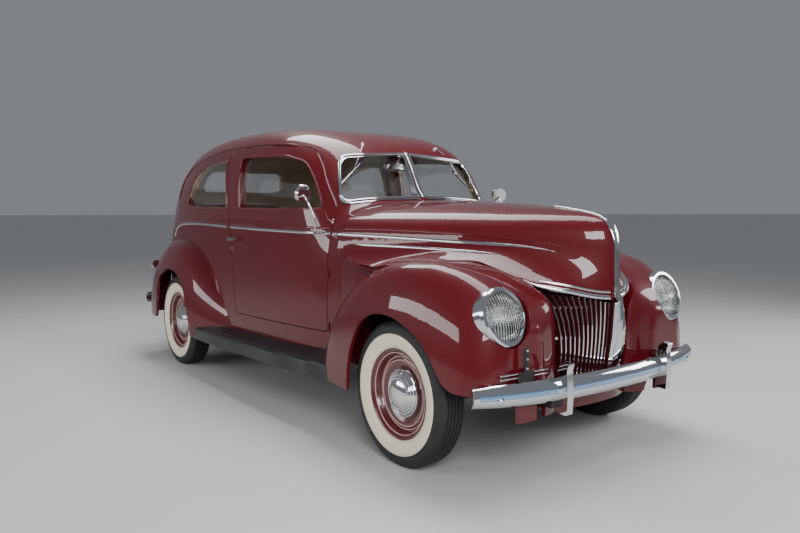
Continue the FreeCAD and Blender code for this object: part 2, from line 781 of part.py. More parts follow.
# Floor with a raised part over the rear axle, a bulkhead and two wheel covers
floor = box(-880.0, 880.0, -760.0, 760.0, floor_z, floor_z + floor_thickness)
riser = box(-880.0, -864.0, -760.0, 760.0, floor_z, rear_floor_z)
rear_floor = box(-2060.0, -864.0, -760.0, 760.0, rear_floor_z - floor_thickness, rear_floor_z)
bulkhead = box(820.0, 836.0, -760.0, 760.0, floor_z, 1300.0)
inside = body_form(wall, skirt_z - 30.0)
inside.scale(0.9993, V(-200.0, 0, 800.0))
floor_pan = fuse([floor, riser, rear_floor, bulkhead]).common(inside)
cover = Part.makeCylinder(428.0, 200.0, V(rear_axle_x, -760.0, axle_z), V(0, 1, 0))
cover_room = Part.makeCylinder(412.0, 200.0, V(rear_axle_x, -776.0, axle_z), V(0, 1, 0))
cover = cover.common(inside).cut(box(-2100.0, -400.0, -800.0, 0.0, 0.0, rear_floor_z - 10.0))
covers = [cover, mirrored(cover)]
floor_pan = fuse([floor_pan] + covers).cut(cover_room).cut(mirrored(cover_room))
floor_pan = max(floor_pan.Solids, key=lambda piece: piece.Volume)
bulkhead = floor_pan.common(box(819.0, 837.0, -800.0, 800.0, floor_z + floor_thickness, 1400.0))
rear_floor = floor_pan.common(box(-2200.0, -864.0, -800.0, 800.0, 300.0, 1400.0))
front_floor = floor_pan.cut(bulkhead).cut(rear_floor)
save("front_floor", front_floor)
save("rear_floor", rear_floor)
save("bulkhead", bulkhead)
save("frame", rails.cut(floor_pan))
save("cross_members", Part.makeCompound(cross_pieces).cut(floor_pan))

# Cowl sides reach forward of the doors, under the hood's edge
cowl_points = [(872.0, -655.0), (1050.0, -672.0), (1150.0, -667.0)]
cowl_points += [(1150.0, -651.0), (1050.0, -656.0), (872.0, -639.0)]
cowl_side = top_prism(cowl_points, 392.0, 1000.0)
cowl_top = [(800.0, 1100.0), (800.0, 982.0), (886.0, 982.0), (1050.0, 935.0), (1200.0, 919.0),
            (1300.0, 925.0), (1300.0, 1100.0)]
cowl_side = cowl_side.cut(side_prism(cowl_top, -900.0, -400.0))
cowl_side = cowl_side.cut(fender).cut(body).cut(board)
cowl_side = max(cowl_side.Solids, key=lambda piece: piece.Volume)

# Inner aprons close the room under the hood
apron_rows = []
for x, top, half, y, z in hood_lines[1:6]:
    points = [
        V(x, -rail_outer_y, rail_top_z), V(x, -rail_outer_y, 760.0), V(x, -(y + 12.0), z - 27.0),
        V(x, -(y + 12.0), z - 21.0), V(x, -(rail_outer_y - 8.0), 770.0),
        V(x, -(rail_outer_y - 8.0), rail_top_z),
    ]
    apron_rows.append(Part.makePolygon(points + [points[0]]))
apron = Part.makeLoft(apron_rows, True, True).cut(fender).cut(cowl_side)
apron = max(apron.Solids, key=lambda piece: piece.Volume)
save("aprons", Part.makeCompound([apron, mirrored(apron)]))
save("cowl_sides", Part.makeCompound([cowl_side, mirrored(cowl_side)]))

# Grille: upright bars that follow the prow and fan out to the fender's edge
# Outer edge of the grille at each height: z, y and x
grille_edge = [
    (445.0, 254.0, 2066.0), (560.0, 260.0, 2080.0), (628.0, 264.0, 2082.0), (694.0, 270.0, 2073.0),
    (757.0, 276.0, 2047.0), (809.0, 290.0, 2024.0), (844.0, 310.0, 2007.0), (884.0, 348.0, 1978.0),
]


def edge_at(z):
    z = max(445.0, min(884.0, z))
    for low, high in zip(grille_edge, grille_edge[1:]):
        if z <= high[0]:
            share = (z - low[0]) / (high[0] - low[0])
            return low[1] + (high[1] - low[1]) * share, low[2] + (high[2] - low[2]) * share


def prow_x(y, z):
    height = max(0.0, min(1.0, (z - 440.0) / 370.0))
    centre = 2160.0 + 48.0 * height ** 0.6
    edge_y, edge_x = edge_at(z)
    return centre - (centre - edge_x) * min(1.0, abs(y) / edge_y) ** 1.45


bars = []
for k in range(12):
    share = 0.11 + 0.072 * k
    sections = []
    high = 800.0 + 76.0 * share ** 1.3 - 4.0
    for j in range(7):
        z = 452.0 + (high - 452.0) * j / 6
        y = edge_at(z)[0] * share
        x = prow_x(y, z)
        corners = [V(x, -y - 4.5, z), V(x, -y + 4.5, z), V(x - 26.0, -y + 4.5, z), V(x - 26.0, -y - 4.5, z)]
        sections.append(Part.makePolygon(corners + [corners[0]]))
    bars.append(Part.makeLoft(sections, True, True))
straps = []
for z in (500.0, 640.0, 780.0):
    reach = edge_at(z)[0] - 3.0
    row = [-reach + 2 * reach * j / 16 for j in range(17)]
    edge = [(prow_x(y, z) - 16.0, y) for y in row]
    back = [(prow_x(y, z) - 30.0, y) for y in reversed(row)]
    straps.append(top_prism(edge + back, z - 6.0, z + 6.0))
divider = side_prism([
    (2140.0, 452.0), (2176.0, 452.0, 6.0), (2206.0, 640.0), (2216.0, 800.0, 6.0), (2150.0, 800.0),
], -13.0, 13.0)
grille = fuse(bars + [mirrored(bar) for bar in bars] + straps + [divider])
grille = grille.cut(fender).cut(mirrored(fender)).cut(closed_skin(hood_rows(0.0, 6.0, 4.0)))
grille = max(grille.Solids, key=lambda piece: piece.Volume)
save("grille", grille)

# Valance between the fenders, below the grille
valance_plan = [(2040.0, -330.0), (2108.0, -180.0, 60.0), (2122.0, 0.0, 150.0)]
valance_plan += [(2108.0, 180.0, 60.0), (2040.0, 330.0), (2024.0, 330.0)]
valance_plan += [(2092.0, 180.0, 60.0), (2106.0, 0.0, 150.0), (2092.0, -180.0, 60.0), (2024.0, -330.0)]
valance = top_prism(valance_plan, 309.0, 446.0)
valance = valance.cut(fender).cut(mirrored(fender)).cut(grille).cut(frame)
valance = max(valance.Solids, key=lambda piece: piece.Volume)
save("front_valance", valance)

# Head lamps lean back with the fender's face
lamp_centre = V(2078.0, -598.0, 775.0)
lamp_axis = V(cos(radians(19.0)), 0, sin(radians(19.0)))
lens_radius = 111.0
lamp_down = V(sin(radians(19.0)), 0, -cos(radians(19.0)))
lamp_side = V(0, 1, 0)


def drop_outline(radius, distance):
    """Closed outline round the lamp, drawn out to a point below and a little above."""
    points = []
    for k in range(28):
        turn = 2 * pi * k / 28
        reach = radius + 15.0 * max(0.0, cos(turn)) ** 6 + 8.0 * max(0.0, -cos(turn)) ** 2
        place = lamp_centre + lamp_axis * distance
        points.append(place + lamp_down * reach * cos(turn) + lamp_side * reach * sin(turn))
    curve = Part.BSplineCurve()
    curve.interpolate(Points=points, PeriodicFlag=True)
    return Part.Wire(curve.toShape())


bezel = Part.makeLoft([
    drop_outline(127.0, -66.0), drop_outline(126.0, -10.0), drop_outline(123.0, 8.0), drop_outline(116.0, 16.0),
], True, True)
bezel = bezel.cut(Part.makeCylinder(lens_radius, 90.0, lamp_centre - lamp_axis * 56.0, lamp_axis))
lens = turned(
    [(0.0, 26.0), (40.0, 24.0), (80.0, 16.0), (lens_radius - 0.1, 4.0), (lens_radius - 0.1, -4.0),
     (80.0, 7.0), (40.0, 14.0), (0.0, 16.0)],
    lamp_centre, lamp_axis,
)
lamp_room = Part.makeLoft([drop_outline(127.0, -66.0), drop_outline(127.0, 200.0)], True, True)
fender = fender.cut(lamp_room)
fender = max(fender.Solids, key=lambda piece: piece.Volume)
save("front_fender_right", fender)
save("front_fender_left", mirrored(fender))
save("headlamp_bezels", Part.makeCompound([bezel, mirrored(bezel)]))
save("headlamp_lenses", Part.makeCompound([lens, mirrored(lens)]))

# Wheels: pressed disc, rim, drum and cap in one, with the tyre as its own piece
bore = spindle_radius + spindle_clearance


def wheel_pieces(x, track, side):
    """Tyre and wheel at an axle end; side is -1 on the right and 1 on the left."""
    centre = V(x, side * track / 2, axle_z)
    axis = V(0, side, 0)
    half = tyre_width / 2
    tread = tyre_radius
    tyre = turned([
        (rim_radius, -half + 22.0), (rim_radius + 30.0, -half + 7.0),
        (tread - 62.0, -half), (tread - 24.0, -half + 7.0), (tread - 6.0, -half + 22.0),
        (tread, -half + 44.0), (tread, half - 44.0), (tread - 6.0, half - 22.0),
        (tread - 24.0, half - 7.0), (tread - 62.0, half), (rim_radius + 30.0, half - 7.0),
        (rim_radius, half - 22.0), (rim_radius - 14.0, half - 30.0), (rim_radius - 14.0, -half + 30.0),
    ], centre, axis)
    rim = rim_radius - 14.0
    wheel = turned([
        (bore, -28.0), (60.0, -28.0), (62.0, -8.0), (128.0, -12.0), (140.0, -30.0), (146.0, -30.0),
        (146.0, 2.0), (168.0, 8.0), (184.0, 2.0), (rim - 10.0, -10.0), (rim - 10.0, -half + 34.0),
        (rim - 2.0, -half + 24.0), (rim + 12.0, -half + 14.0), (rim + 14.0, -half + 21.0),
        (rim, -half + 29.9), (rim, half - 29.9), (rim + 14.0, half - 21.0), (rim + 14.0, half - 12.0),
        (rim + 4.0, half - 12.0), (rim - 8.0, half - 26.0), (rim - 12.0, 14.0), (184.0, 16.0),
        (168.0, 24.0), (150.0, 22.0), (118.0, 16.0), (116.0, 36.0), (104.0, 44.0), (84.0, 46.0),
        (80.0, 54.0), (58.0, 66.0), (30.0, 72.0), (0.0, 74.0), (0.0, 60.0), (bore, 60.0),
    ], centre, axis)
    return tyre, wheel.cut(tyre)


corners = [
    ("fr", front_axle_x, front_track, -1),
    ("fl", front_axle_x, front_track, 1),
    ("rr", rear_axle_x, rear_track, -1),
    ("rl", rear_axle_x, rear_track, 1),
]
for name, x, track, side in corners:
    tyre, wheel = wheel_pieces(x, track, side)
    save("tyre_" + name, tyre)
    save("wheel_" + name, wheel)

# Front axle beam with an upright boss at each end, and the knuckles that turn on it
pin_radius = 15.0
boss = rod((front_axle_x, -kingpin_y, 312.0), (front_axle_x, -kingpin_y, 390.0), 20.0)
boss = boss.cut(rod((front_axle_x, -kingpin_y, 300.0), (front_axle_x, -kingpin_y, 400.0), pin_radius + 0.05))
beam = side_prism([
    (front_axle_x - 24.0, 262.0), (front_axle_x + 24.0, 262.0),
    (front_axle_x + 24.0, 306.0), (front_axle_x - 24.0, 306.0),
], -570.0, 570.0)
rise = Part.makeLoft([
    outline_wire([(-20.0, 262.0), (20.0, 262.0), (20.0, 306.0), (-20.0, 306.0)],
                 lambda p: V(front_axle_x + p.x, -569.0, p.y)),
    outline_wire([(-18.0, 322.0), (18.0, 322.0), (18.0, 380.0), (-18.0, 380.0)],
                 lambda p: V(front_axle_x + p.x, -kingpin_y + 18.0, p.y)),
], True, True)
front_axle = fuse([boss, rise, beam, mirrored(boss), mirrored(rise)])
spring_half = 520.0


def leaf_pack(x, top_z, end_z, levels):
    """Bowed spring of several leaves across the car."""
    pieces = []
    for k in range(levels):
        reach = spring_half * (1.0 - 0.17 * k)
        drop = top_z - end_z
        rows = [-reach + 2 * reach * j / 12 for j in range(13)]
        upper = [V(x - 24.0, y, top_z - drop * (y / spring_half) ** 2 + 7.0 * k) for y in rows]
        lower = [V(p.x, p.y, p.z - 7.2) for p in reversed(upper)]
        a = Part.BSplineCurve()
        a.interpolate(upper)
        b = Part.BSplineCurve()
        b.interpolate(lower)
        wire = Part.Wire([
            a.toShape(), Part.makeLine(upper[-1], lower[0]),
            b.toShape(), Part.makeLine(lower[-1], upper[0]),
        ])
        pieces.append(Part.Face(wire).extrude(V(48.0, 0, 0)))
    return pieces


front_spring = leaf_pack(front_axle_x, 345.0, 318.0, 5)
front_shackles = [
    box(front_axle_x - 26.0, front_axle_x + 26.0, side * 505.0 - 12.0, side * 505.0 + 12.0, 304.0, 322.0)
    for side in (-1, 1)
]
rear_spring = leaf_pack(rear_axle_x, 442.0, 412.0, 5)
rear_shackles = [
    box(rear_axle_x - 26.0, rear_axle_x + 26.0, side * 505.0 - 12.0, side * 505.0 + 12.0, 385.0, 416.0)
    for side in (-1, 1)
]
rear_axle = fuse([
    rod((rear_axle_x, -660.0, axle_z), (rear_axle_x, 660.0, axle_z), 38.0),
    rod((rear_axle_x, -780.0, axle_z), (rear_axle_x, 780.0, axle_z), spindle_radius),
    turned([(0.0, -96.0), (70.0, -92.0), (112.0, -40.0), (112.0, 40.0), (70.0, 92.0), (0.0, 96.0)],
           V(rear_axle_x, 0, axle_z), V(0, 1, 0)),
    rod((rear_axle_x, -672.0, axle_z), (rear_axle_x, -664.0, axle_z), 138.0),
    rod((rear_axle_x, -666.0, axle_z), (rear_axle_x, -656.0, axle_z), 60.0),
    rod((rear_axle_x, 664.0, axle_z), (rear_axle_x, 672.0, axle_z), 138.0),
    rod((rear_axle_x, 656.0, axle_z), (rear_axle_x, 666.0, axle_z), 60.0),
])
springs = fuse(front_spring + front_shackles).cut(front_axle).cut(frame)
springs = max(springs.Solids, key=lambda piece: piece.Volume)
springs_rear = fuse(rear_spring + rear_shackles).cut(rear_axle).cut(frame)
springs_rear = max(springs_rear.Solids, key=lambda piece: piece.Volume)
save("leaf_springs", Part.makeCompound([springs, springs_rear]))
save("front_axle", front_axle)
save("rear_axle", rear_axle)

arm_x = front_axle_x - 150.0
arm_y = kingpin_y
knuckle = fuse([
    rod((front_axle_x, -kingpin_y, 296.0), (front_axle_x, -kingpin_y, 404.0), pin_radius),
    rod((front_axle_x, -kingpin_y, 296.0), (front_axle_x, -kingpin_y, 311.5), 26.0),
    rod((front_axle_x, -kingpin_y, 390.5), (front_axle_x, -kingpin_y, 404.0), 26.0),
    box(front_axle_x - 20.0, front_axle_x + 20.0, -672.0, -kingpin_y, 296.0, 311.5),
    box(front_axle_x - 20.0, front_axle_x + 20.0, -672.0, -kingpin_y, 390.5, 404.0),
    rod((front_axle_x, -670.0, axle_z), (front_axle_x, -762.0, axle_z), spindle_radius),
    rod((front_axle_x, -675.0, axle_z), (front_axle_x, -669.2, axle_z), 132.0),
    box(arm_x - 18.0, front_axle_x, -arm_y - 14.0, -arm_y + 14.0, 296.0, 308.0),
    rod((arm_x, -arm_y, 268.0), (arm_x, -arm_y, 300.0), 8.0),
])
save("knuckle_right", knuckle)
save("knuckle_left", mirrored(knuckle))
tie_rod = fuse([
    rod((arm_x, -arm_y, 274.0), (arm_x, -arm_y, 290.0), 18.0),
    rod((arm_x, arm_y, 274.0), (arm_x, arm_y, 290.0), 20.0),
    rod((arm_x, -arm_y + 12.0, 282.0), (arm_x, arm_y - 14.0, 282.0), 8.0),
])
tie_rod = tie_rod.cut(rod((arm_x, -arm_y, 260.0), (arm_x, -arm_y, 300.0), 8.05))
tie_rod = tie_rod.cut(rod((arm_x, arm_y, 260.0), (arm_x, arm_y, 300.0), 9.0))
save("tie_rod", tie_rod)

# Engine as a plain block on its cross piece, with gearbox and torque tube behind
engine = box(1180.0, 1760.0, -210.0, 210.0, 440.0, 900.0)
engine = fuse([engine, box(1260.0, 1680.0, -120.0, 120.0, 900.0, 960.0)])
save("engine_block", engine)
driveline = fuse([
    rod((1180.0, 0, 520.0), (1040.0, 0, 500.0), 120.0).common(box(900.0, 1180.0, -200, 200, 440.1, 700.0)),
    box(860.0, 1100.0, -70.0, 70.0, 400.0, 445.0).cut(frame),
    rod((900.0, 0, 412.0), (-1190.0, 0, axle_z + 8.0), 34.0),
])
driveline = driveline.cut(frame).cut(floor_pan).cut(rear_axle)
driveline = max(driveline.Solids, key=lambda piece: piece.Volume)
save("driveline", driveline)
radiator = fuse([
    box(1880.0, 1950.0, -230.0, 230.0, 440.0, 940.0),
    box(1874.0, 1956.0, -200.0, 200.0, 940.0, 1010.0),
])
save("radiator", radiator)
save("fuel_tank", box(-1915.0, -1600.0, -330.0, 330.0, 400.0, rear_floor_z - floor_thickness))
exhaust = fuse([
    rod((1150.0, -260.0, 300.0), (-700.0, -260.0, 280.0), 24.0),
    rod((-100.0, -260.0, 284.0), (-620.0, -260.0, 280.0), 62.0),
    rod((-700.0, -260.0, 280.0), (-1020.0, -250.0, 248.0), 22.0),
    rod((-1020.0, -250.0, 248.0), (-1480.0, -250.0, 248.0), 22.0),
    rod((-1480.0, -250.0, 248.0), (-2180.0, -260.0, 330.0), 22.0),
    Part.makeSphere(24.0, V(-700.0, -260.0, 280.0)),
    Part.makeSphere(22.0, V(-1020.0, -250.0, 248.0)),
    Part.makeSphere(22.0, V(-1480.0, -250.0, 248.0)),
    rod((1150.0, -260.0, 300.0), (1150.0, -240.0, 470.0), 24.0),
    rod((1150.0, -240.0, 470.0), (1190.0, -212.0, 560.0), 24.0),
    Part.makeSphere(24.0, V(1150.0, -260.0, 300.0)),
    Part.makeSphere(24.0, V(1150.0, -240.0, 470.0)),
    box(-380.0, -350.0, -392.0, -250.0, 315.0, 329.9),
    box(-1970.0, -1950.0, -264.0, -250.0, 300.0, 380.0),
]).cut(frame).cut(engine)
exhaust = max(exhaust.Solids, key=lambda piece: piece.Volume)
save("exhaust", exhaust)

# Seats, with the bench split for the way into the back
front_seats = []
for y0, y1 in ((-600.0, -12.0), (12.0, 600.0)):
    cushion = side_prism([
        (-330.0, 462.1), (230.0, 462.1), (236.0, 700.0, 50.0), (60.0, 756.0, 60.0), (-330.0, 716.0, 30.0),
    ], y0, y1)
    back = side_prism([
        (-430.0, 560.0), (-240.0, 640.0), (-330.0, 1180.0, 40.0), (-440.0, 1190.0, 40.0), (-500.0, 560.0, 20.0),
    ], y0, y1)
    front_seats.append(fuse([cushion, back]))
save("front_seat", Part.makeCompound(front_seats))
rear_seat = fuse([
    side_prism([(-1560.0, 540.1), (-960.0, 540.1), (-950.0, 760.0, 50.0), (-1560.0, 740.0, 40.0)],
               -560.0, 560.0),
    side_prism([(-1560.0, 600.0), (-1480.0, 620.0), (-1640.0, 1210.0, 50.0), (-1760.0, 1210.0, 30.0)],
               -590.0, 590.0),
    box(-1900.0, -1680.0, -560.0, 560.0, 1180.0, 1196.0),
]).common(body_form(wall + 4.0)).cut(floor_pan)
save("rear_seat", max(rear_seat.Solids, key=lambda piece: piece.Volume))

dash = side_prism([
    (600.0, 1010.0), (660.0, 1000.0), (660.0, 1240.0), (640.0, 1262.0), (560.0, 1230.0, 30.0), (548.0, 1100.0, 20.0),
], -720.0, 720.0).common(body_form(wall + 6.0))
dash_stays = [box(655.0, 821.0, y - 15.0, y + 15.0, 1060.0, 1080.0) for y in (-480.0, 0.0, 480.0)]
dash = fuse([dash] + dash_stays).cut(windscreen_frame).cut(mirrored(windscreen_frame))
dash = dash.cut(pane).cut(mirrored(pane)).cut(floor_pan)
save("dashboard", max(dash.Solids, key=lambda piece: piece.Volume))

# Steering column and wheel on the left
hub = V(330.0, 340.0, 1090.0)
foot = V(836.0, 340.0, 720.0)
line = (hub - foot).normalize()
column_top = hub - line * 14.0
column = fuse([
    Part.makeCylinder(22.0, (column_top - foot).Length - 30.0, foot + line * 2.0, line),
    Part.makeCylinder(11.0, 40.0, column_top - line * 32.0, line),
])
column = column.cut(dash).cut(floor_pan)
save("steering_column", max(column.Solids, key=lambda piece: piece.Volume))
ring_radius = 212.0
rim_ring = Part.makeTorus(ring_radius, 11.0, hub + line * 36.0, line)
across = V(0, 1, 0)
updown = line.cross(across)
spokes = []
for k in range(3):
    angle = radians(90.0 + 120.0 * k)
    way = across * cos(angle) + updown * sin(angle)
    spokes.append(rod(tuple(hub + line * 8.0), tuple(hub + line * 36.0 + way * ring_radius), 7.0))
hub_piece = Part.makeCylinder(34.0, 30.0, hub - line * 6.0, line)
steering_wheel = fuse([rim_ring, hub_piece] + spokes)
steering_wheel = steering_wheel.cut(Part.makeCylinder(11.05, 60.0, column_top - line * 50.0, line))
save("steering_wheel", steering_wheel)

# Door fittings: pull handle with its lock, and a round mirror on a bowed arm
def door_fittings():
    handle = fuse([
        rod((-430.0, -716.0, 1022.0), (-430.0, -752.0, 1022.0), 11.0),
        box(-438.0, -330.0, -762.0, -748.0, 1012.0, 1032.0),
        rod((-505.0 + 60.0, -716.0, 958.0), (-505.0 + 60.0, -724.0, 958.0), 10.0),
    ])
    bow = Part.BSplineCurve()
    bow.interpolate([
        V(702.0, -724.0, 1092.0), V(712.0, -728.0, 1160.0), V(708.0, -742.0, 1212.0),
        V(696.0, -760.0, 1272.0), V(662.0, -774.0, 1310.0),
    ])
    ring = Part.Wire(Part.makeCircle(6.0, V(702.0, -724.0, 1092.0), bow.tangent(0.0)[0]))
    arm = fuse([
        Part.Wire(bow.toShape()).makePipeShell([ring], True, False),
        rod((702.0, -640.0, 1100.0), (702.0, -728.0, 1100.0), 9.0),
        rod((672.0, -772.0, 1318.0), (652.0, -780.0, 1324.0), 50.0),
    ])
    return handle, arm


handle, arm = door_fittings()
handle = handle.cut(cabin_outer)
arm = arm.cut(cabin_outer)
fittings = []
for solid in handle.Solids + arm.Solids:
    fittings.append(solid)
save("door_fittings_right", Part.makeCompound(fittings))
save("door_fittings_left", mirrored(Part.makeCompound(fittings)))

# Small outside pieces
prow = [(1900.0, 1214.0), (2060.0, 1202.0), (2130.0, 1186.0), (2172.0, 1160.0), (2200.0, 1110.0),
        (2214.0, 1040.0), (2222.0, 900.0), (2222.0, 812.0)]
prow_back = [(x - 26.0, z - 8.0) for x, z in reversed(prow[2:])] + [(1900.0, 1190.0)]
nose = side_prism(prow + prow_back, -8.0, 8.0).cut(hood)
nose = max(nose.Solids, key=lambda piece: piece.Volume)
save("hood_ornament", nose)
tail_lamp = turned([(0.0, -30.0), (34.0, -30.0), (34.0, 20.0), (28.0, 32.0), (14.0, 38.0), (0.0, 40.0)],
                   V(-1872.0, -790.0, 760.0), V(-1, 0, 0))
tail_lamp = tail_lamp.cut(rear_fender_form(0.0))
tail_lamp = max(tail_lamp.Solids, key=lambda piece: piece.Volume)
save("tail_lamps", Part.makeCompound([tail_lamp, mirrored(tail_lamp)]))
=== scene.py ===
import bpy
import json
from math import sin, cos, pi, radians, sqrt, atan2, exp
from mathutils import Vector, Matrix

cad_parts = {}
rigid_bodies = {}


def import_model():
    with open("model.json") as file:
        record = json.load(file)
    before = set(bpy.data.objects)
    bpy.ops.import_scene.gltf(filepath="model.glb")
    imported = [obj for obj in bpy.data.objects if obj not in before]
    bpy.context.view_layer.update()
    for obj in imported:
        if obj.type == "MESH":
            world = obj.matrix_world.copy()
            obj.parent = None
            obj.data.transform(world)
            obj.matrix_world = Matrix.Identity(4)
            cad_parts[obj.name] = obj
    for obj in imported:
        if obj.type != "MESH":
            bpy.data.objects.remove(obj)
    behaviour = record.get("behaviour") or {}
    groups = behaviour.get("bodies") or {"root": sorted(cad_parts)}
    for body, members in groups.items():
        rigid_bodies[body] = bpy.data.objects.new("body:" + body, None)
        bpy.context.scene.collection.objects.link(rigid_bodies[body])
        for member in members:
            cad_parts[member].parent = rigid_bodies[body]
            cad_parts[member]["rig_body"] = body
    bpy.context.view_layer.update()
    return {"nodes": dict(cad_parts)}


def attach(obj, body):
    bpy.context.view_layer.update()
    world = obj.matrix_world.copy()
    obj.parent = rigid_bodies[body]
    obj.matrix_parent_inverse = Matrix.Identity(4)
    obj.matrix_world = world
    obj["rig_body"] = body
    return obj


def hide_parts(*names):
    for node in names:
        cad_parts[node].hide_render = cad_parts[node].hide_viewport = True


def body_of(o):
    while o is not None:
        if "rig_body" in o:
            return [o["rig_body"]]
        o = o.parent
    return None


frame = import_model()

# Camera: stands ahead of the right front fender at eye height, as the photograph does.
camera_data = bpy.data.cameras.new("photo_camera")
camera_data.lens = 32.05
camera_data.sensor_width = 36.0
camera_data.clip_end = 100.0
camera = bpy.data.objects.new("photo_camera", camera_data)
bpy.context.scene.collection.objects.link(camera)
azimuth = radians(53.01)
elevation = radians(4.88)
back = Vector((sin(azimuth) * cos(elevation), -cos(azimuth) * cos(elevation), sin(elevation)))
turn = back.to_track_quat("Z", "Y") @ Matrix.Rotation(radians(-0.1), 3, "Z").to_quaternion()
camera.rotation_mode = "QUATERNION"
camera.rotation_quaternion = turn
camera.location = (4.2249, -2.769, 1.2496)
bpy.context.scene.camera = camera


def linear(hex_colour):
    """sRGB hex value as a linear colour."""
    parts = [int(hex_colour[i:i + 2], 16) / 255.0 for i in (0, 2, 4)]
    return [c / 12.92 if c <= 0.04045 else ((c + 0.055) / 1.055) ** 2.4 for c in parts] + [1.0]


def node(tree, kind, settings=None, links=None, **values):
    """Adds a node, sets its settings and socket values, and links its inputs."""
    made = tree.nodes.new(kind)
    for key, value in (settings or {}).items():
        setattr(made, key, value)
    for key, value in values.items():
        made.inputs[key.replace("_", " ")].default_value = value
    for key, source in (links or {}).items():
        tree.links.new(source, made.inputs[key])
    return made


def new_material(name):
    """A new material, its node tree and its shader."""
    material = bpy.data.materials.new(name)
    material.use_nodes = True
    tree = material.node_tree
    return material, tree, tree.nodes["Principled BSDF"]


def noise(tree, scale, detail):
    """A noise laid out in metres on the piece itself."""
    coords = node(tree, "ShaderNodeTexCoord")
    return node(tree, "ShaderNodeTexNoise", None, {"Vector": coords.outputs["Object"]}, Scale=scale,
                Detail=detail).outputs["Fac"]


def bands(tree, axis, scale):
    """Parallel bands along an axis of the piece."""
    coords = node(tree, "ShaderNodeTexCoord")
    return node(tree, "ShaderNodeTexWave", {"bands_direction": axis}, {"Vector": coords.outputs["Object"]},
                Scale=scale).outputs["Fac"]


def blend(tree, shader, factor, first, second):
    """Mixes the base colour between two hex values."""
    tone = node(tree, "ShaderNodeMix", {"data_type": "RGBA"}, {0: factor})
    tone.inputs[6].default_value = linear(first)
    tone.inputs[7].default_value = linear(second)
    tree.links.new(tone.outputs[2], shader.inputs["Base Color"])
    return tone


def relieve(tree, shader, height, strength, depth):
    """Feeds a height to the shader as bump."""
    relief = node(tree, "ShaderNodeBump", None, {"Height": height}, Strength=strength, Distance=depth)
    tree.links.new(relief.outputs["Normal"], shader.inputs["Normal"])


def mottle(tree, shader, scale, first, second, bump=0.0, depth=0.001):
    """Colour drifting between two hex values over a noise, with its own bump."""
    cloud = noise(tree, scale, 4.0)
    if bump:
        relieve(tree, shader, cloud, bump, depth)
    return blend(tree, shader, cloud, first, second)


def surface(shader, **values):
    """Sets the shader's own sockets, a space in a socket's name written as an underscore."""
    for key, value in values.items():
        shader.inputs[key.replace("_", " ")].default_value = value


def plain_finish(name, scale, first, second, bump=0.0, depth=0.001, **values):
    """A material that needs no more than a mottled colour and its sockets."""
    material, tree, shader = new_material(name)
    mottle(tree, shader, scale, first, second, bump, depth)
    surface(shader, **values)
    return material


def dress(names, material):
    """Gives CAD nodes a material."""
    for name in names:
        materials = frame["nodes"][name].data.materials
        materials.clear()
        materials.append(material)


# Floor and lights: a pale studio floor, four soft boxes and a dim all-round fill.
bpy.ops.object.select_all(action="DESELECT")
bpy.ops.mesh.primitive_plane_add(size=240.0, location=(0, 0, 0))
floor = bpy.context.object
floor.name = "studio_floor"
floor_paint, tree, shader = new_material("pale_studio_floor")
surface(shader, Base_Color=linear("cfcecb"), Roughness=0.62)
floor.data.materials.append(floor_paint)

world = bpy.data.worlds.new("studio")
bpy.context.scene.world = world
world.use_nodes = True
world.node_tree.nodes["Background"].inputs["Color"].default_value = linear("d5dae2")
world.node_tree.nodes["Background"].inputs["Strength"].default_value = 0.32


def soft_box(name, place, aim, width, height, power):
    """A rectangular studio light."""
    data = bpy.data.lights.new(name, "AREA")
    data.shape = "RECTANGLE"
    data.size = width
    data.size_y = height
    data.energy = power
    lamp = bpy.data.objects.new(name, data)
    bpy.context.scene.collection.objects.link(lamp)
    lamp.location = place
    lamp.rotation_mode = "QUATERNION"
    lamp.rotation_quaternion = (Vector(place) - Vector(aim)).to_track_quat("Z", "Y")


soft_box("overhead", (-0.2, 0.3, 4.4), (-0.2, 0.2, 0.8), 6.2, 1.6, 230)
soft_box("front_side", (5.4, -2.6, 2.6), (1.2, 0, 0.7), 2.2, 1.6, 170)
soft_box("long_side", (-1.2, -5.8, 1.9), (-0.2, 0, 0.8), 6.0, 1.0, 130)
soft_box("far_side", (3.4, 5.0, 2.6), (0.8, 0, 0.8), 3.2, 1.6, 130)

# Chassis: channel rails, cross pieces, floor pressings and suspension in black stove
# enamel. The coat is satin, with road dust lying in a soft grey bloom.
chassis_black = plain_finish("satin_black_stove_enamel", 14.0, "121212", "262422", 0.15, 0.0008,
                             Roughness=0.5)
dress(["frame", "cross_members", "front_floor", "rear_floor", "bulkhead", "aprons", "leaf_springs",
       "front_axle", "knuckle_right", "knuckle_left", "tie_rod", "rear_axle", "driveline"], chassis_black)

# Exhaust: bare mild steel tube and silencer, browned by heat and damp.
exhaust_steel = plain_finish("heat_browned_steel_tube", 22.0, "4a4039", "6f655c", 0.3, 0.0006, Metallic=0.7,
                             Roughness=0.55)
dress(["exhaust"], exhaust_steel)

# Fuel tank: two terne-coated steel halves seam welded together, dull and grey.
terne = plain_finish("dull_terne_plate", 40.0, "57585a", "6c6d6f", 0.1, 0.0005, Metallic=0.8, Roughness=0.48)
dress(["fuel_tank"], terne)

# Engine: cast iron block and heads sprayed in green engine enamel over a sandy skin.
engine_enamel = plain_finish("green_engine_enamel", 60.0, "2f4738", "3b5745", 0.5, 0.0008, Roughness=0.42)
dress(["engine_block"], engine_enamel)


def ridges(tree, shader, axis, scale, strength, depth, hollow_painted_shade=None, crest_painted_highlight=None):
    """Parallel ridges along an axis, raised in the bump. When two hex values are given they also
    colour the ridges: the first darkens the hollows as painted shade, the second lightens the crests as
    painted highlight."""
    wave = bands(tree, axis, scale)
    if hollow_painted_shade:
        blend(tree, shader, wave, hollow_painted_shade, crest_painted_highlight)
    relieve(tree, shader, wave, strength, depth)
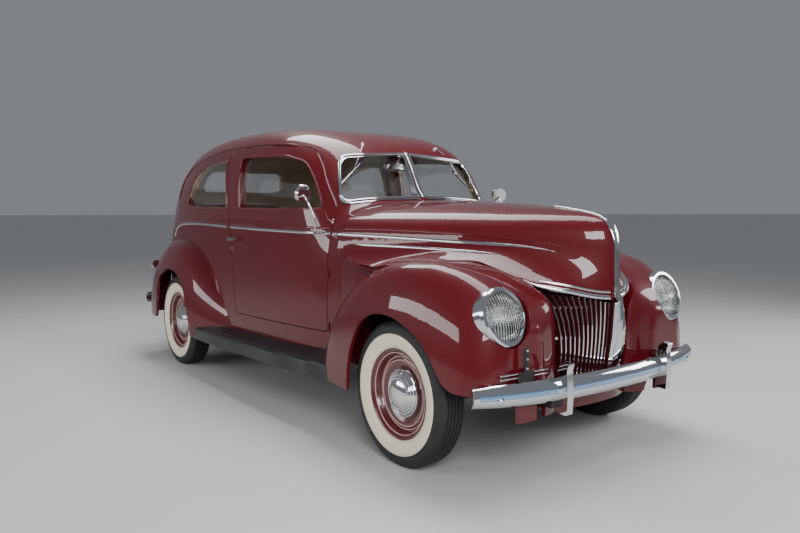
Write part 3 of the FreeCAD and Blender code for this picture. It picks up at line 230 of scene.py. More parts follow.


# Radiator: black tinned core with fins 3 mm apart, drawn 6 mm apart so that they show.
# # The hollows between the fins are painted darker as painted shade, and the crests lighter as painted
# highlight.
core_black, tree, shader = new_material("black_japanned_fin_core")
ridges(tree, shader, "Z", 26.0, 0.8, 0.002, "090909", "2b2b2c")
surface(shader, Roughness=0.4)
dress(["radiator"], core_black)

# Bright work: chromium plate over polished steel, buffed along its length.
chrome, tree, shader = new_material("polished_chromium_plate")
gloss = node(tree, "ShaderNodeMapRange", None, {"Value": noise(tree, 9.0, 3.0)}, To_Min=0.04, To_Max=0.12)
tree.links.new(gloss.outputs["Result"], shader.inputs["Roughness"])
surface(shader, Base_Color=linear("d8dade"), Metallic=1.0)
dress(["windscreen_frame", "front_bumper", "rear_bumper", "headlamp_bezels",
       "door_fittings_right", "door_fittings_left", "hood_ornament"], chrome)

# Tyres: cross-ply rubber with a cream white wall on the outer face. The tread is
# moulded with five grooves round it and a row of short bars on each shoulder.
tyre_black = plain_finish("moulded_tyre_rubber", 30.0, "151516", "242425", 0.2, 0.0006, Roughness=0.62)
white_wall = plain_finish("cream_white_wall_rubber", 11.0, "d9cfb4", "e9e2cb", Roughness=0.55)

wheel_enamel = plain_finish("maroon_wheel_enamel", 14.0, "4d0e18", "57121c", Roughness=0.28,
                            Coat_Weight=0.9, Coat_Roughness=0.05)


def open_mesh():
    """Edit mode, with the whole of the active mesh selected."""
    bpy.ops.object.mode_set(mode="EDIT")
    bpy.ops.mesh.select_all(action="SELECT")


def mm(*pairs):
    """Pairs of millimetres as metres."""
    return [(a / 1000, b / 1000) for a, b in pairs]


def turned(name, profile, steps=96):
    """A profile of (distance along Y, radius) pairs in metres, spun about the Y axis."""
    bpy.ops.object.select_all(action="DESELECT")
    bpy.ops.mesh.primitive_plane_add(size=0.001, location=(0, 0, 0))
    piece = bpy.context.object
    piece.name = name
    bpy.ops.object.mode_set(mode="EDIT")
    bpy.ops.mesh.merge(type="CENTER")
    bpy.ops.transform.translate(value=(0, profile[0][0], profile[0][1]))
    for before, now in zip(profile, profile[1:]):
        step = (0, now[0] - before[0], now[1] - before[1])
        bpy.ops.mesh.extrude_region_move(TRANSFORM_OT_translate={"value": step})
    bpy.ops.mesh.select_all(action="SELECT")
    bpy.ops.mesh.spin(steps=steps, angle=2 * pi, center=(0, 0, 0), axis=(0, 1, 0))
    bpy.ops.mesh.select_all(action="SELECT")
    bpy.ops.mesh.remove_doubles(threshold=0.00002)
    bpy.ops.mesh.normals_make_consistent(inside=False)
    bpy.ops.object.mode_set(mode="OBJECT")
    return piece


def stood(piece, place, way):
    """Stands a turned piece at a place with its axis along a way."""
    piece.rotation_mode = "QUATERNION"
    piece.rotation_quaternion = way.to_track_quat("Y", "Z")
    piece.location = place
    return piece


def alone(piece):
    """Selects one piece, with all others deselected."""
    bpy.ops.object.select_all(action="DESELECT")
    piece.select_set(True)
    bpy.context.view_layer.objects.active = piece


def finish(piece, body, materials, angle=30.0):
    """Smooths a piece, fixes its place in its mesh, dresses it and lets it ride."""
    alone(piece)
    bpy.ops.object.transform_apply(location=True, rotation=True, scale=True)
    bpy.ops.object.shade_smooth_by_angle(angle=radians(angle))
    picks = [face.material_index for face in piece.data.polygons]
    piece.data.materials.clear()
    for material in materials if isinstance(materials, (list, tuple)) else [materials]:
        piece.data.materials.append(material)
    for face, pick in zip(piece.data.polygons, picks):
        face.material_index = min(pick, len(piece.data.materials) - 1)
    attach(piece, body)
    return piece


def copied(piece, name, place, side):
    """A copy with its own mesh, moved to a wheel centre and facing outward."""
    twin = piece.copy()
    twin.data = piece.data.copy()
    twin.name = name
    bpy.context.scene.collection.objects.link(twin)
    twin.matrix_world = Matrix.Translation(place) @ Matrix.Diagonal((1, side, 1, 1))
    alone(twin)
    bpy.ops.object.transform_apply(location=True, rotation=True, scale=True)
    if side < 0:
        open_mesh()
        bpy.ops.mesh.flip_normals()
        bpy.ops.object.mode_set(mode="OBJECT")
    return twin


WHEEL_CENTRE_Z = 0.351
TREAD_RADIUS = 0.3508
GROOVE_RADIUS = 0.3448
GROOVE_PITCH = 0.02
TREAD_STEPS = 168
SHOULDER_CUT = 0.0042
WHITE_WALL = (0.219, 0.2915)
tread = []
for k in range(5):
    w = GROOVE_PITCH * (k - 2)
    tread += [(w - 0.0022, TREAD_RADIUS), (w - 0.0018, GROOVE_RADIUS), (w + 0.0018, GROOVE_RADIUS),
              (w + 0.0022, TREAD_RADIUS)]
tyre_profile = mm(
    (-50, 204.5), (-55.5, 214), (-66, 224), (-74, 246), (-79, 276),
    (-79, 300), (-74.5, 322), (-69, 334.5), (-60, 345.5), (-52, 350.2),
) + tread + mm(
    (52, 350.2), (60, 345.5), (69, 334.5), (74.5, 322), (77.5, 308.5),
    (79.2, 293.5), (77.2, 292.5), (79, 290.5), (79.8, 276), (76.2, 250),
    (70, 231), (64, 223.5), (60, 220.5), (55.5, 214), (50, 204.5),
)
tyre = turned("tyre_pattern", tyre_profile, TREAD_STEPS)
for vertex in tyre.data.vertices:
    radius = sqrt(vertex.co.x ** 2 + vertex.co.z ** 2)
    angle = atan2(vertex.co.z, vertex.co.x)
    step = int(round((angle + pi) / (2 * pi) * TREAD_STEPS)) % TREAD_STEPS
    if 0.334 < radius < 0.3462 and step % 3 == 0:
        vertex.co.x *= 1.0 - SHOULDER_CUT / radius
        vertex.co.z *= 1.0 - SHOULDER_CUT / radius
for face in tyre.data.polygons:
    radius = sqrt(face.center.x ** 2 + face.center.z ** 2)
    face.material_index = 1 if face.center.y > 0.05 and WHITE_WALL[0] < radius < WHITE_WALL[1] else 0
wheel_profile = mm(
    (-52, 203), (-60, 216.5), (-56, 218.5), (-48, 205), (-20, 193),
    (30, 193), (47, 200.5), (53.5, 206.5), (57.5, 217), (61, 219.2),
    (64.5, 218.5), (64, 215), (60, 210.5), (52, 199.5), (44, 194),
    (25, 190.5), (18, 186), (16.5, 180), (23, 172), (27, 160),
    (26, 148), (21, 135), (14, 124), (12, 113), (14, 60),
)
disc = turned("wheel_pattern", wheel_profile, 96)
cap_profile = mm(
    (14, 117), (26, 117.5), (31, 116), (32.5, 113), (31, 110),
    (36, 108), (40, 104), (41, 100), (39.5, 97.5), (44, 95.5),
    (47.5, 91.5), (48, 88), (46.5, 85.5), (51, 83), (54.5, 78.5),
    (55, 74.5), (53.5, 72.5), (58, 69), (64, 56), (69, 38),
    (71.8, 19), (72.7, 0),
)
cap = turned("cap_pattern", cap_profile, 96)
rings = []
for n, (w, r) in enumerate([(0.0292, 0.1595), (0.0225, 0.1757), (0.0512, 0.198)]):
    ring = turned("ring_pattern_%d" % n, [(w - 0.003, r - 0.0022), (w + 0.0002, r - 0.0014),
                                          (w + 0.0002, r + 0.0014), (w - 0.003, r + 0.0022)], 96)
    rings.append(ring)
ring_cream = plain_finish("cream_pinstripe_enamel", 24.0, "c89f92", "d6afa2", Roughness=0.3)
drum = plain_finish("cast_iron_drum", 45.0, "1a1918", "2a2624", 0.4, 0.0008, Roughness=0.7)
drum_profile = [(-0.034, 0.0), (-0.034, 0.14), (-0.012, 0.146), (0.006, 0.146), (0.008, 0.0)]
hub = turned("drum_pattern", drum_profile, 48)
wheel_parts = [(tyre, "tyre_%s_moulded", [tyre_black, white_wall], 40, "tyre", "tyre_"),
               (disc, "wheel_%s_disc", wheel_enamel, 40, "wheel_paint", "wheel_"),
               (cap, "wheel_%s_cap", chrome, 25, "chrome", None)]
for n, ring in enumerate(rings):
    wheel_parts.append((ring, "wheel_%s_stripe_" + str(n), ring_cream, 60, "wheel_paint", None))
wheel_parts.append((hub, "wheel_%s_drum", drum, 40, "chassis_black", None))
for key, x, y, side, body in [
    ("fr", 1.545, -0.708, -1, "wheel_front_right"), ("fl", 1.545, 0.708, 1, "wheel_front_left"),
    ("rr", -1.3, -0.74, -1, "wheel_rear_right"), ("rl", -1.3, 0.74, 1, "wheel_rear_left"),
]:
    for pattern, title, material, angle, slot, stands_for in wheel_parts:
        piece = copied(pattern, title % key, Vector((x, y, WHEEL_CENTRE_Z)), side)
        finish(piece, body, material, angle)
        if stands_for:
            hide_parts(stands_for + key)
for pattern in [tyre, disc, cap, hub] + rings:
    bpy.data.objects.remove(pattern)

# Body panels: pressed steel in deep maroon enamel with a clear top coat. The flow
# of the coat leaves a faint orange peel, and the colour drifts a little over a panel.
enamel, tree, shader = new_material("maroon_gloss_enamel")
mottle(tree, shader, 1.4, "520711", "5f0b17")
relieve(tree, shader, noise(tree, 260.0, 1.0), 0.012, 0.001)
surface(shader, Roughness=0.42, Specular_IOR_Level=0.12, Coat_Weight=0.85, Coat_Roughness=0.025)
dress(["body_shell", "door_right", "door_left", "trunk_lid", "hood", "front_fender_right",
       "front_fender_left", "rear_fender_right", "rear_fender_left", "cowl_sides", "front_valance"], enamel)

# Safety glass: clear laminated panes, faintly green through their edge.
glass, tree, shader = new_material("clear_safety_glass")
surface(shader, Base_Color=linear("f2f6f3"), Transmission_Weight=1.0, Roughness=0.01, IOR=1.1, Alpha=0.3)
dress(["fixed_glass", "door_glass_right", "door_glass_left"], glass)

# Running boards: black rubber moulded in lengthwise ribs, vulcanised on a steel step.
# The ribs are 11 mm apart and satin; the grooves are painted darker as painted shade and the crests lighter
# as painted highlight.
ribbed_rubber, tree, shader = new_material("ribbed_black_rubber")
ridges(tree, shader, "Y", 14.3, 0.9, 0.003, "0e0e0f", "2a292a")
surface(shader, Roughness=0.38)
dress(["running_boards"], ribbed_rubber)

# Mouldings: rolled stainless strips clipped along the belt and the hood sides, each
# panel carrying its own length. A raised bead is pressed in the panels just above.
SIDES = ((-1, "right"), (1, "left"))
SIDE_PANELS = ["body_shell", "door_right", "door_left", "cowl_sides", "hood", "front_fender_right",
               "front_fender_left"]


def struck(names, start, way):
    """First point that a line meets on CAD nodes: name, point and outward normal."""
    best = None
    for name in names:
        found, point, normal, index = frame["nodes"][name].ray_cast(Vector(start), Vector(way).normalized())
        if found and (best is None or (point - Vector(start)).length < best[3]):
            best = (name, point.copy(), normal.copy(), (point - Vector(start)).length)
    return best


def struck_from_side(names, x, z, side):
    """First point that a level line from outside one side of the car meets."""
    return struck(names, (x, side * 1.4, z), (0, -side, 0))


def tidy(piece):
    """Merges doubles, closes open ends and turns the faces outward."""
    alone(piece)
    open_mesh()
    bpy.ops.mesh.remove_doubles(threshold=0.00002)
    bpy.ops.mesh.fill_holes(sides=0)
    bpy.ops.mesh.normals_make_consistent(inside=False)
    bpy.ops.object.mode_set(mode="OBJECT")


def moulding(name, line, section, body, material, slot=None, angle=40.0):
    """A closed strip along (point, outward normal, width, height) stations, the section
    given as (across, out) pairs in half widths and heights."""
    bpy.ops.object.select_all(action="DESELECT")
    bpy.ops.mesh.primitive_grid_add(x_subdivisions=len(line) - 1, y_subdivisions=len(section), size=1.0)
    piece = bpy.context.object
    piece.name = name
    for vertex in piece.data.vertices:
        i = int(round((vertex.co.x + 0.5) * (len(line) - 1)))
        j = int(round((vertex.co.y + 0.5) * len(section))) % len(section)
        point, normal, width, height = line[i]
        ahead = Vector(line[min(i + 1, len(line) - 1)][0]) - Vector(line[max(i - 1, 0)][0])
        across = Vector(normal).cross(ahead).normalized()
        rise = ahead.cross(across).normalized()
        u, v = section[j]
        vertex.co = Vector(point) + across * (u * width) + rise * (v * height)
    tidy(piece)
    finish(piece, body, material, angle)
    return piece if slot else piece


HALF_ROUND = [(-1.0, -0.35), (-0.94, 0.3), (-0.72, 0.68), (-0.38, 0.93), (0.0, 1.0),
              (0.38, 0.93), (0.72, 0.68), (0.94, 0.3), (1.0, -0.35)]
ROUND = [(cos(2 * pi * k / 10), sin(2 * pi * k / 10)) for k in range(10)]


def smooth_line(points, count):
    """Points evenly spread on a smooth curve through the given ones."""
    points = [Vector(point) for point in points]
    out = []
    for k in range(count):
        t = k / (count - 1) * (len(points) - 1)
        i = min(int(t), len(points) - 2)
        f = t - i
        p0, p1 = points[max(i - 1, 0)], points[i]
        p2, p3 = points[i + 1], points[min(i + 2, len(points) - 1)]
        out.append(0.5 * ((2 * p1) + (p2 - p0) * f + (2 * p0 - 5 * p1 + 4 * p2 - p3) * f * f
                          + (3 * p1 - p0 - 3 * p2 + p3) * f * f * f))
    return out


def rod(name, points, radius, count, material, slot=None, out=(0, 1, 0)):
    """A round rod on the chassis through the given points."""
    line = [(p, Vector(out), radius, radius) for p in smooth_line(points, count)]
    return moulding(name, line, ROUND, "chassis", material, slot)


def ringed(name, foot, way, stack, out, body, material, slot=None):
    """A small turned part built up from (distance along the way, radius) rings above its foot."""
    line = [(foot + way * distance, out, radius, radius) for distance, radius in stack]
    return moulding(name, line, ROUND, body, material, slot)


def panel_strips(title, path, width, height, material, slot, taper_front, taper_back):
    """Strips along an (x, z) path on both sides of the car, cut where the panel changes."""
    for side, word in SIDES:
        stations = []
        for p in smooth_line([(x, 0, z) for x, z in path], 150):
            hit = struck_from_side(SIDE_PANELS, p.x, p.z, side)
            if hit:
                stations.append(hit)
        total = len(stations)
        runs = []
        for n, (name, point, normal, far) in enumerate(stations):
            grow = 1.0
            if n > total * (1 - taper_front):
                grow = max(0.12, (total - 1 - n) / (total * taper_front))
            if n < total * taper_back:
                grow = max(0.12, n / (total * taper_back))
            station = (point, normal, width * grow, height * (0.4 + 0.6 * grow))
            if runs and runs[-1][0] == name and (runs[-1][1][-1][0] - point).length < 0.09:
                runs[-1][1].append(station)
            else:
                runs.append([name, [station]])
        for n, (name, line) in enumerate(runs):
            if len(line) > 3:
                body = body_of(frame["nodes"][name])[0]
                moulding("%s_%s_%d" % (title, word, n), line, HALF_ROUND, body, material, slot)


panel_strips("belt_strip", mm((-1662, 1000), (-1648, 1030), (-1612, 1060), (-1545, 1089), (-1370, 1109),
                              (-1015, 1114), (-465, 1104), (20, 1098), (650, 1094), (1018, 1090),
                              (1285, 1083), (1506, 1074), (1723, 1066), (1908, 1054), (2012, 1034)),
             0.0095, 0.0065, chrome, "chrome", taper_front=0.12, taper_back=0.02)
panel_strips("hood_flash", [(0.99, 1.041), (1.292, 1.039), (1.525, 1.034), (1.68, 1.028), (1.805, 1.019)],
             0.0085, 0.006, chrome, "chrome", taper_front=0.22, taper_back=0.08)
panel_strips("pressed_bead", mm((-1640, 1075), (-1600, 1105), (-1473, 1134), (-935, 1139),
                                (-444, 1126), (669, 1123), (1159, 1125), (1552, 1114),
                                (1787, 1096), (1890, 1088), (2008, 1063), (2098, 1040)), 0.008, 0.0032,
             enamel, "paint", taper_front=0.15, taper_back=0.03)

# Drip rails: a rolled steel gutter welded round the door opening and back along the
# roof side, painted with the body.
for side, word in SIDES:
    line = []
    for p in smooth_line([(x, 0, z) for x, z in [
        (-1.57, 1.31), (-1.5, 1.45), (-1.33, 1.54), (-1.119, 1.592), (-0.753, 1.64), (-0.496, 1.652),
        (-0.093, 1.648), (0.218, 1.63), (0.363, 1.598), (0.499, 1.524), (0.598, 1.424), (0.652, 1.336),
        (0.7, 1.25),
    ]], 110):
        hit = struck_from_side(["body_shell"], p.x, p.z, side)
        if hit and abs(hit[1].y) > 0.45:
            line.append((hit[1], hit[2], 0.0075, 0.0085))
    moulding("drip_rail_" + word, line, HALF_ROUND, "chassis", enamel, "paint")

# Window surrounds: the windscreen sits in a plated channel with a bright centre bar. The
# side windows have a rolled lip in the panel, painted with it.
SCREEN_EDGE = mm((24, 1303), (160, 1299), (300, 1294), (430, 1285), (512, 1277), (540, 1288),
                 (546, 1312), (534, 1360), (520, 1420), (500, 1484), (480, 1526), (452, 1545),
                 (400, 1552), (300, 1559), (160, 1567), (24, 1575))
for side, word in SIDES:
    line = []
    for p in smooth_line([(0, y, z) for y, z in SCREEN_EDGE], 90):
        hit = struck(["body_shell", "windscreen_frame", "fixed_glass"], (2.0, side * p.y, p.z), (-1, 0, 0))
        out = Vector((0.8, side * 0.2, 0.56)).normalized()
        line.append((hit[1] + out * 0.001, out, 0.0085, 0.0075))
    smoothed = []
    for n, (point, out, half, rise) in enumerate(line):
        near = line[max(n - 3, 0):n + 4]
        middle = sum((p[0] for p in near), Vector()) / len(near)
        smoothed.append((Vector((max(point.x, middle.x), point.y, point.z)), out, half, rise))
    moulding("windscreen_channel_" + word, smoothed, HALF_ROUND, "chassis", chrome, "chrome")
line = []
for z in (1.298, 1.35, 1.4, 1.45, 1.5, 1.55, 1.58):
    hit = struck(["body_shell", "windscreen_frame", "fixed_glass"], (2.0, 0.0, z), (-1, 0, 0))
    line.append((hit[1] + Vector((0.004, 0, 0.002)), Vector((0.86, 0, 0.51)), 0.0095, 0.0075))
moulding("windscreen_centre_bar", line, HALF_ROUND, "chassis", chrome, "chrome")

DOOR_EDGE = mm((180, 1236), (-150, 1236), (-290, 1238), (-312, 1262), (-318, 1400), (-330, 1520),
               (-318, 1562), (-270, 1574), (0, 1569), (180, 1562), (300, 1545), (420, 1508),
               (500, 1460), (566, 1390), (622, 1305), (644, 1262), (630, 1240), (580, 1236),
               (400, 1236), (181, 1236))
QUARTER_EDGE = mm((-800, 1240), (-620, 1238), (-540, 1240), (-524, 1262), (-545, 1400), (-564, 1530),
                  (-580, 1562), (-640, 1568), (-820, 1560), (-960, 1532), (-1100, 1478), (-1200, 1410),
                  (-1270, 1340), (-1296, 1290), (-1280, 1262), (-1220, 1250), (-1000, 1244), (-801, 1240))
for side, word in SIDES:
    for title, path, names in (("door_window_lip_" + word, DOOR_EDGE, ["door_" + word]),
                               ("quarter_window_lip_" + word, QUARTER_EDGE, ["body_shell"])):
        middle_x = sum(x for x, z in path) / len(path)
        middle_z = sum(z for x, z in path) / len(path)
        line = []
        for p in smooth_line([(x, 0, z) for x, z in path], 120):
            away = Vector((p.x - middle_x, 0, p.z - middle_z)).normalized()
            for step in range(8):
                spot = p + away * (0.004 + 0.003 * step)
                hit = struck_from_side(names, spot.x, spot.z, side)
                if hit and abs(hit[2].y) > 0.5 and abs(hit[1].y) > 0.4:
                    line.append((hit[1], hit[2], 0.0065, 0.0045))
                    break
        moulding(title, line, HALF_ROUND, body_of(frame["nodes"][names[0]])[0], enamel, "paint")

# Hood lip: two polished bars clipped over the grille opening. The lower one follows the
# rolled edge of the hood, and the upper one stands a little above it.
LIP_POINTS = 40
LIP_INNER_Y = 0.03
for side, word in SIDES:
    for title, reach, lift, half, out in [("lip_bar", 0.372, 0.01, 0.0115, 0.009),
                                          ("lip_flash", 0.313, 0.035, 0.007, 0.007)]:
        line = []
        for n in range(LIP_POINTS):
            y = side * (reach - (reach - LIP_INNER_Y) * n / (LIP_POINTS - 1))
            for step in range(90):
                edge = 0.79 + 0.002 * step
                hit = struck(["hood"], (3.0, y, edge), (-1, 0, 0))
                if hit and hit[1].x > 1.9:
                    break
            hit = struck(["hood"], (3.0, y, edge + lift), (-1, 0, 0))
            if hit and hit[1].x > 1.9:
                grow = min(1.0, 0.25 + n / 12.0)
                line.append((hit[1], hit[2], half * grow, out * (0.5 + 0.5 * grow)))
        smoothed = []
        for n, (point, outward, half_width, rise) in enumerate(line):
            near = line[max(n - 2, 0):n + 3]
            middle = sum((p[0] for p in near), Vector()) / len(near)
            facing = sum((p[1] for p in near), Vector()).normalized()
            smoothed.append((middle + facing * 0.0005, facing, half_width, rise))
        moulding("%s_%s" % (title, word), smoothed, HALF_ROUND, "hood", chrome, "chrome")

# Nose cap: a plated die casting screwed along the prow of the hood. It is narrow at the
# back, widens over the nose and narrows again down to the lip.
line = []
for x, half in [(1.835, 0.004), (1.88, 0.007), (1.93, 0.01), (1.98, 0.013), (2.02, 0.016), (2.06, 0.019),
                (2.1, 0.022), (2.13, 0.024), (2.16, 0.025), (2.182, 0.025)]:
    hit = struck(["hood"], (x, 0.004, 2.0), (0, 0, -1))
    line.append((Vector((x, 0.0, hit[1].z)), half))
for z, half in [(1.12, 0.024), (1.095, 0.021), (1.07, 0.018), (1.04, 0.016), (0.99, 0.015), (0.93, 0.014),
                (0.87, 0.013), (0.826, 0.012)]:
    hit = struck(["hood"], (3.0, 0.024, z), (-1, 0, 0))
    line.append((Vector((hit[1].x + (0.008 if z < 1.08 else 0.004), 0.0, z)), half))
cap_line = []
for n, (point, half) in enumerate(line):
    ahead = line[min(n + 1, len(line) - 1)][0] - line[max(n - 1, 0)][0]
    cap_line.append((point, Vector((-ahead.z, 0, ahead.x)).normalized(), half, 0.0075))
moulding("nose_cap", cap_line, HALF_ROUND, "hood", chrome, "chrome", 50)

# Windscreen wipers: stainless arms on spindles above the glass, with rubber blades.
wiper_rubber = plain_finish("moulded_black_wiper_rubber", 80.0, "141414", "1f1f20", Roughness=0.6)
SPINDLE_RINGS = [(-0.006, 0.012), (0.004, 0.012), (0.008, 0.01), (0.01, 0.007), (0.018, 0.007),
                 (0.021, 0.003)]
for side, word, low, mid, high in (
    (-1, "right", (0.622, -0.497, 1.372), (0.583, -0.385, 1.455), (0.548, -0.29, 1.62)),
    (1, "left", (0.617, 0.502, 1.384), (0.581, 0.45, 1.449), (0.543, 0.294, 1.618)),
):
    out = Vector((0.83, side * 0.14, 0.54))
    arm = [Vector(high) + out * 0.016, Vector(high) * 0.7 + Vector(mid) * 0.3 + out * 0.03,
           Vector(high) * 0.3 + Vector(mid) * 0.7 + out * 0.026, Vector(mid) + out * 0.016]
    moulding("wiper_arm_" + word, [(p, out, 0.0032, 0.0022) for p in smooth_line(arm, 14)], ROUND, "chassis",
             chrome, "chrome")
    head = Vector(mid) * 2.0 - Vector(low)
    blade = [head * 0.55 + Vector(mid) * 0.45, Vector(mid), Vector(low)]
    moulding("wiper_blade_" + word, [(p + out * 0.011, out, 0.0028, 0.0026) for p in smooth_line(blade, 12)],
             ROUND, "chassis", chrome, "chrome")
    moulding("wiper_rubber_" + word, [(p + out * 0.006, out, 0.0016, 0.005) for p in smooth_line(blade, 12)],
             ROUND, "chassis", wiper_rubber)
    ringed("wiper_spindle_" + word, Vector(high), out, SPINDLE_RINGS, Vector((0, 1, 0)), "chassis", chrome,
           "chrome")

# Hood side return: a strip of panel below the hood's rear corner, closing the gap down to
# the cowl side and the fender. It is fixed to the cowl and painted with the body.
FLAT_STRIP = [(-1.0, -0.6), (-1.0, 0.6), (0.0, 1.0), (1.0, 0.6), (1.0, -0.6), (0.0, -0.6)]
for side, word in SIDES:
    line = []
    for k in range(24):
        x = 1.03 + 0.017 * k
        upper = lower = None
        for step in range(70):
            z = 1.0 - 0.0025 * step
            hit = struck_from_side(["hood", "front_fender_" + word, "cowl_sides"], x, z, side)
            if hit and hit[0] == "hood":
                upper = hit
            elif hit and upper and hit[0] != "hood" and abs(hit[1].y) > 0.6:
                lower = hit
                break
        if upper and lower:
            top = Vector((x, side * (abs(upper[1].y) - 0.004), upper[1].z + 0.006))
            foot = Vector((x, side * (abs(upper[1].y) - 0.006), lower[1].z - 0.012))
            line.append(((top + foot) / 2, Vector((0, side, 0.05)), (top.z - foot.z) / 2, 0.0025))
    if len(line) > 3:
        moulding("hood_side_return_" + word, line, FLAT_STRIP, "chassis", enamel, "paint")

# Interior trim: grey-beige wool cloth over boards, stood 2 to 3 mm off the steel inside the
# roof, the quarters and the doors. The cloth is a plain weave with a short nap.
wool, tree, shader = new_material("beige_wool_headlining")
mottle(tree, shader, 5.0, "a8957d", "bba78e")
weft_and_warp = {0: bands(tree, "X", 90.0), 1: bands(tree, "Z", 90.0)}
weave = node(tree, "ShaderNodeMath", {"operation": "MULTIPLY"}, weft_and_warp)
relieve(tree, shader, weave.outputs[0], 0.35, 0.0008)
surface(shader, Roughness=0.95, Sheen_Weight=0.35)


def applied(piece, kind, **settings):
    """Adds a modifier with its settings and applies it."""
    modifier = piece.modifiers.new(kind.lower(), kind)
    for key, value in settings.items():
        setattr(modifier, key, value)
    bpy.ops.object.modifier_apply(modifier=modifier.name)


def lining(name, source, keep, stand_off, thickness, body, material, slot=None):
    """A trim panel: the faces of a CAD node that keep(centre, normal) picks, copied, merged,
    stood off along their normals and given a thickness."""
    piece = bpy.data.objects.new(name, frame["nodes"][source].data.copy())
    bpy.context.scene.collection.objects.link(piece)
    alone(piece)
    open_mesh()
    bpy.ops.mesh.remove_doubles(threshold=0.0001)
    bpy.ops.mesh.select_mode(type="FACE")
    bpy.ops.mesh.select_all(action="DESELECT")
    bpy.ops.object.mode_set(mode="OBJECT")
    for face in piece.data.polygons:
        face.select = not keep(face.center, face.normal)
    bpy.ops.object.mode_set(mode="EDIT")
    bpy.ops.mesh.delete(type="FACE")
    bpy.ops.mesh.select_mode(type="VERT")
    bpy.ops.object.mode_set(mode="OBJECT")
    normals = [vertex.normal.copy() for vertex in piece.data.vertices]
    for vertex, normal in zip(piece.data.vertices, normals):
        vertex.co += normal * stand_off
    applied(piece, "SOLIDIFY", thickness=thickness, offset=1.0)
    finish(piece, body, material, 40)
    return piece if slot else piece


lining("roof_and_quarter_lining", "body_shell",
       lambda c, n: c.z > 0.8 and -1.9 < c.x < 0.72 and n.dot(Vector((0, c.y, c.z - 1.05))) < -0.025
       and abs(n.y) + abs(n.z) > 0.35, 0.0025, 0.001, "chassis", wool, "seat_cloth")
for side, word in SIDES:
    lining("door_lining_" + word, "door_" + word,
           lambda c, n: n.y * side < -0.5 and c.z < 1.13 and -0.655 < c.x < 0.7, 0.002, 0.002,
           body_of(frame["nodes"]["door_" + word])[0], wool, "seat_cloth")

# Seats: coil springs under hair and cotton, covered in striped grey-beige broadcloth.
# The cushions are tied in lengthwise pleats 95 mm apart, sewn in after they are stuffed.
broadcloth, tree, shader = new_material("pleated_wool_broadcloth")
ground = mottle(tree, shader, 7.0, "96836d", "a8947c")
striped = blend(tree, shader, bands(tree, "Y", 22.0), "96836d", "a39079")
tree.links.new(ground.outputs[2], striped.inputs[6])
relieve(tree, shader, noise(tree, 420.0, 2.0), 0.4, 0.0008)
surface(shader, Roughness=0.95, Sheen_Weight=0.4)


PLEAT = 0.095
PLEAT_DEPTH = 0.009
PLEAT_SPREAD = 0.011
PLAIN_RIM = 0.03
VOXEL = 0.012
CLOTH_FRAMES = 12


def stuffed(name, profile, y0, y1, cap):
    """A seat pad: a side profile drawn as a face, extruded across the car, remeshed,
    blown up as cloth, capped, then pleated across its upper face."""
    bpy.ops.object.select_all(action="DESELECT")
    bpy.ops.mesh.primitive_circle_add(vertices=len(profile), radius=0.1, fill_type="NGON")
    pad = bpy.context.object
    pad.name = name
    for vertex, (x, z) in zip(pad.data.vertices, profile):
        vertex.co = (x, y0, z)
    open_mesh()
    bpy.ops.mesh.extrude_region_move(TRANSFORM_OT_translate={"value": (0, y1 - y0, 0)})
    bpy.ops.mesh.select_all(action="SELECT")
    bpy.ops.mesh.normals_make_consistent(inside=False)
    bpy.ops.object.mode_set(mode="OBJECT")
    applied(pad, "BEVEL", width=0.03, segments=4)
    applied(pad, "REMESH", mode="VOXEL", voxel_size=VOXEL)
    rest = [vertex.co.copy() for vertex in pad.data.vertices]
    cloth = pad.modifiers.new("cloth", "CLOTH")
    cloth.settings.use_pressure = True
    cloth.settings.uniform_pressure_force = 4.0
    cloth.settings.effector_weights.gravity = 0.0
    cloth.settings.quality = 4
    for step in range(1, CLOTH_FRAMES + 1):
        bpy.context.scene.frame_set(step)
    bpy.ops.object.modifier_apply(modifier="cloth")
    bpy.context.scene.frame_set(1)
    for vertex, start in zip(pad.data.vertices, rest):
        move = vertex.co - start
        if move.length > cap:
            vertex.co = start + move.normalized() * cap
    normals = [vertex.normal.copy() for vertex in pad.data.vertices]
    for vertex, normal in zip(pad.data.vertices, normals):
        off = (vertex.co.y - (y0 + y1) / 2 + PLEAT / 2) % PLEAT - PLEAT / 2
        face_up = max(0.0, normal.x * 0.75 + normal.z * 0.65)
        rim = min(vertex.co.y - y0, y1 - vertex.co.y)
        if rim > PLAIN_RIM:
            vertex.co -= normal * (PLEAT_DEPTH * exp(-(off / PLEAT_SPREAD) ** 2) * face_up)
    applied(pad, "SUBSURF", levels=1, render_levels=1)
    finish(pad, "chassis", broadcloth, 60)
    return pad


seats = []
for y0, y1, word in ((-0.59, -0.022, "right"), (0.022, 0.59, "left")):
    seats.append(stuffed("front_cushion_" + word, [(-0.32, 0.56), (0.215, 0.56), (0.222, 0.69), (0.06, 0.74),
                                                   (-0.32, 0.705)], y0, y1, 0.01))
    seats.append(stuffed("front_squab_" + word, [(-0.455, 0.66), (-0.285, 0.66), (-0.345, 1.16),
                                                 (-0.425, 1.172)], y0, y1, 0.01))
seats.append(stuffed("rear_cushion", [(-1.54, 0.6), (-0.97, 0.6), (-0.965, 0.735), (-1.54, 0.715)],
                     -0.548, 0.548, 0.01))
seats.append(stuffed("rear_squab", [(-1.55, 0.75), (-1.51, 0.75), (-1.64, 1.18), (-1.72, 1.18)],
                     -0.575, 0.575, 0.008))
for piece in seats[:4]:
    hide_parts("front_seat")
for piece in seats[4:]:
    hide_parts("rear_seat")

# Seat frames and parcel shelf: plywood and pressed steel boxed in with trim cloth.
board = plain_finish("trim_board_in_brown_cloth", 9.0, "5d4f41", "6d5d4d", 0.2, 0.0006, Roughness=0.9)


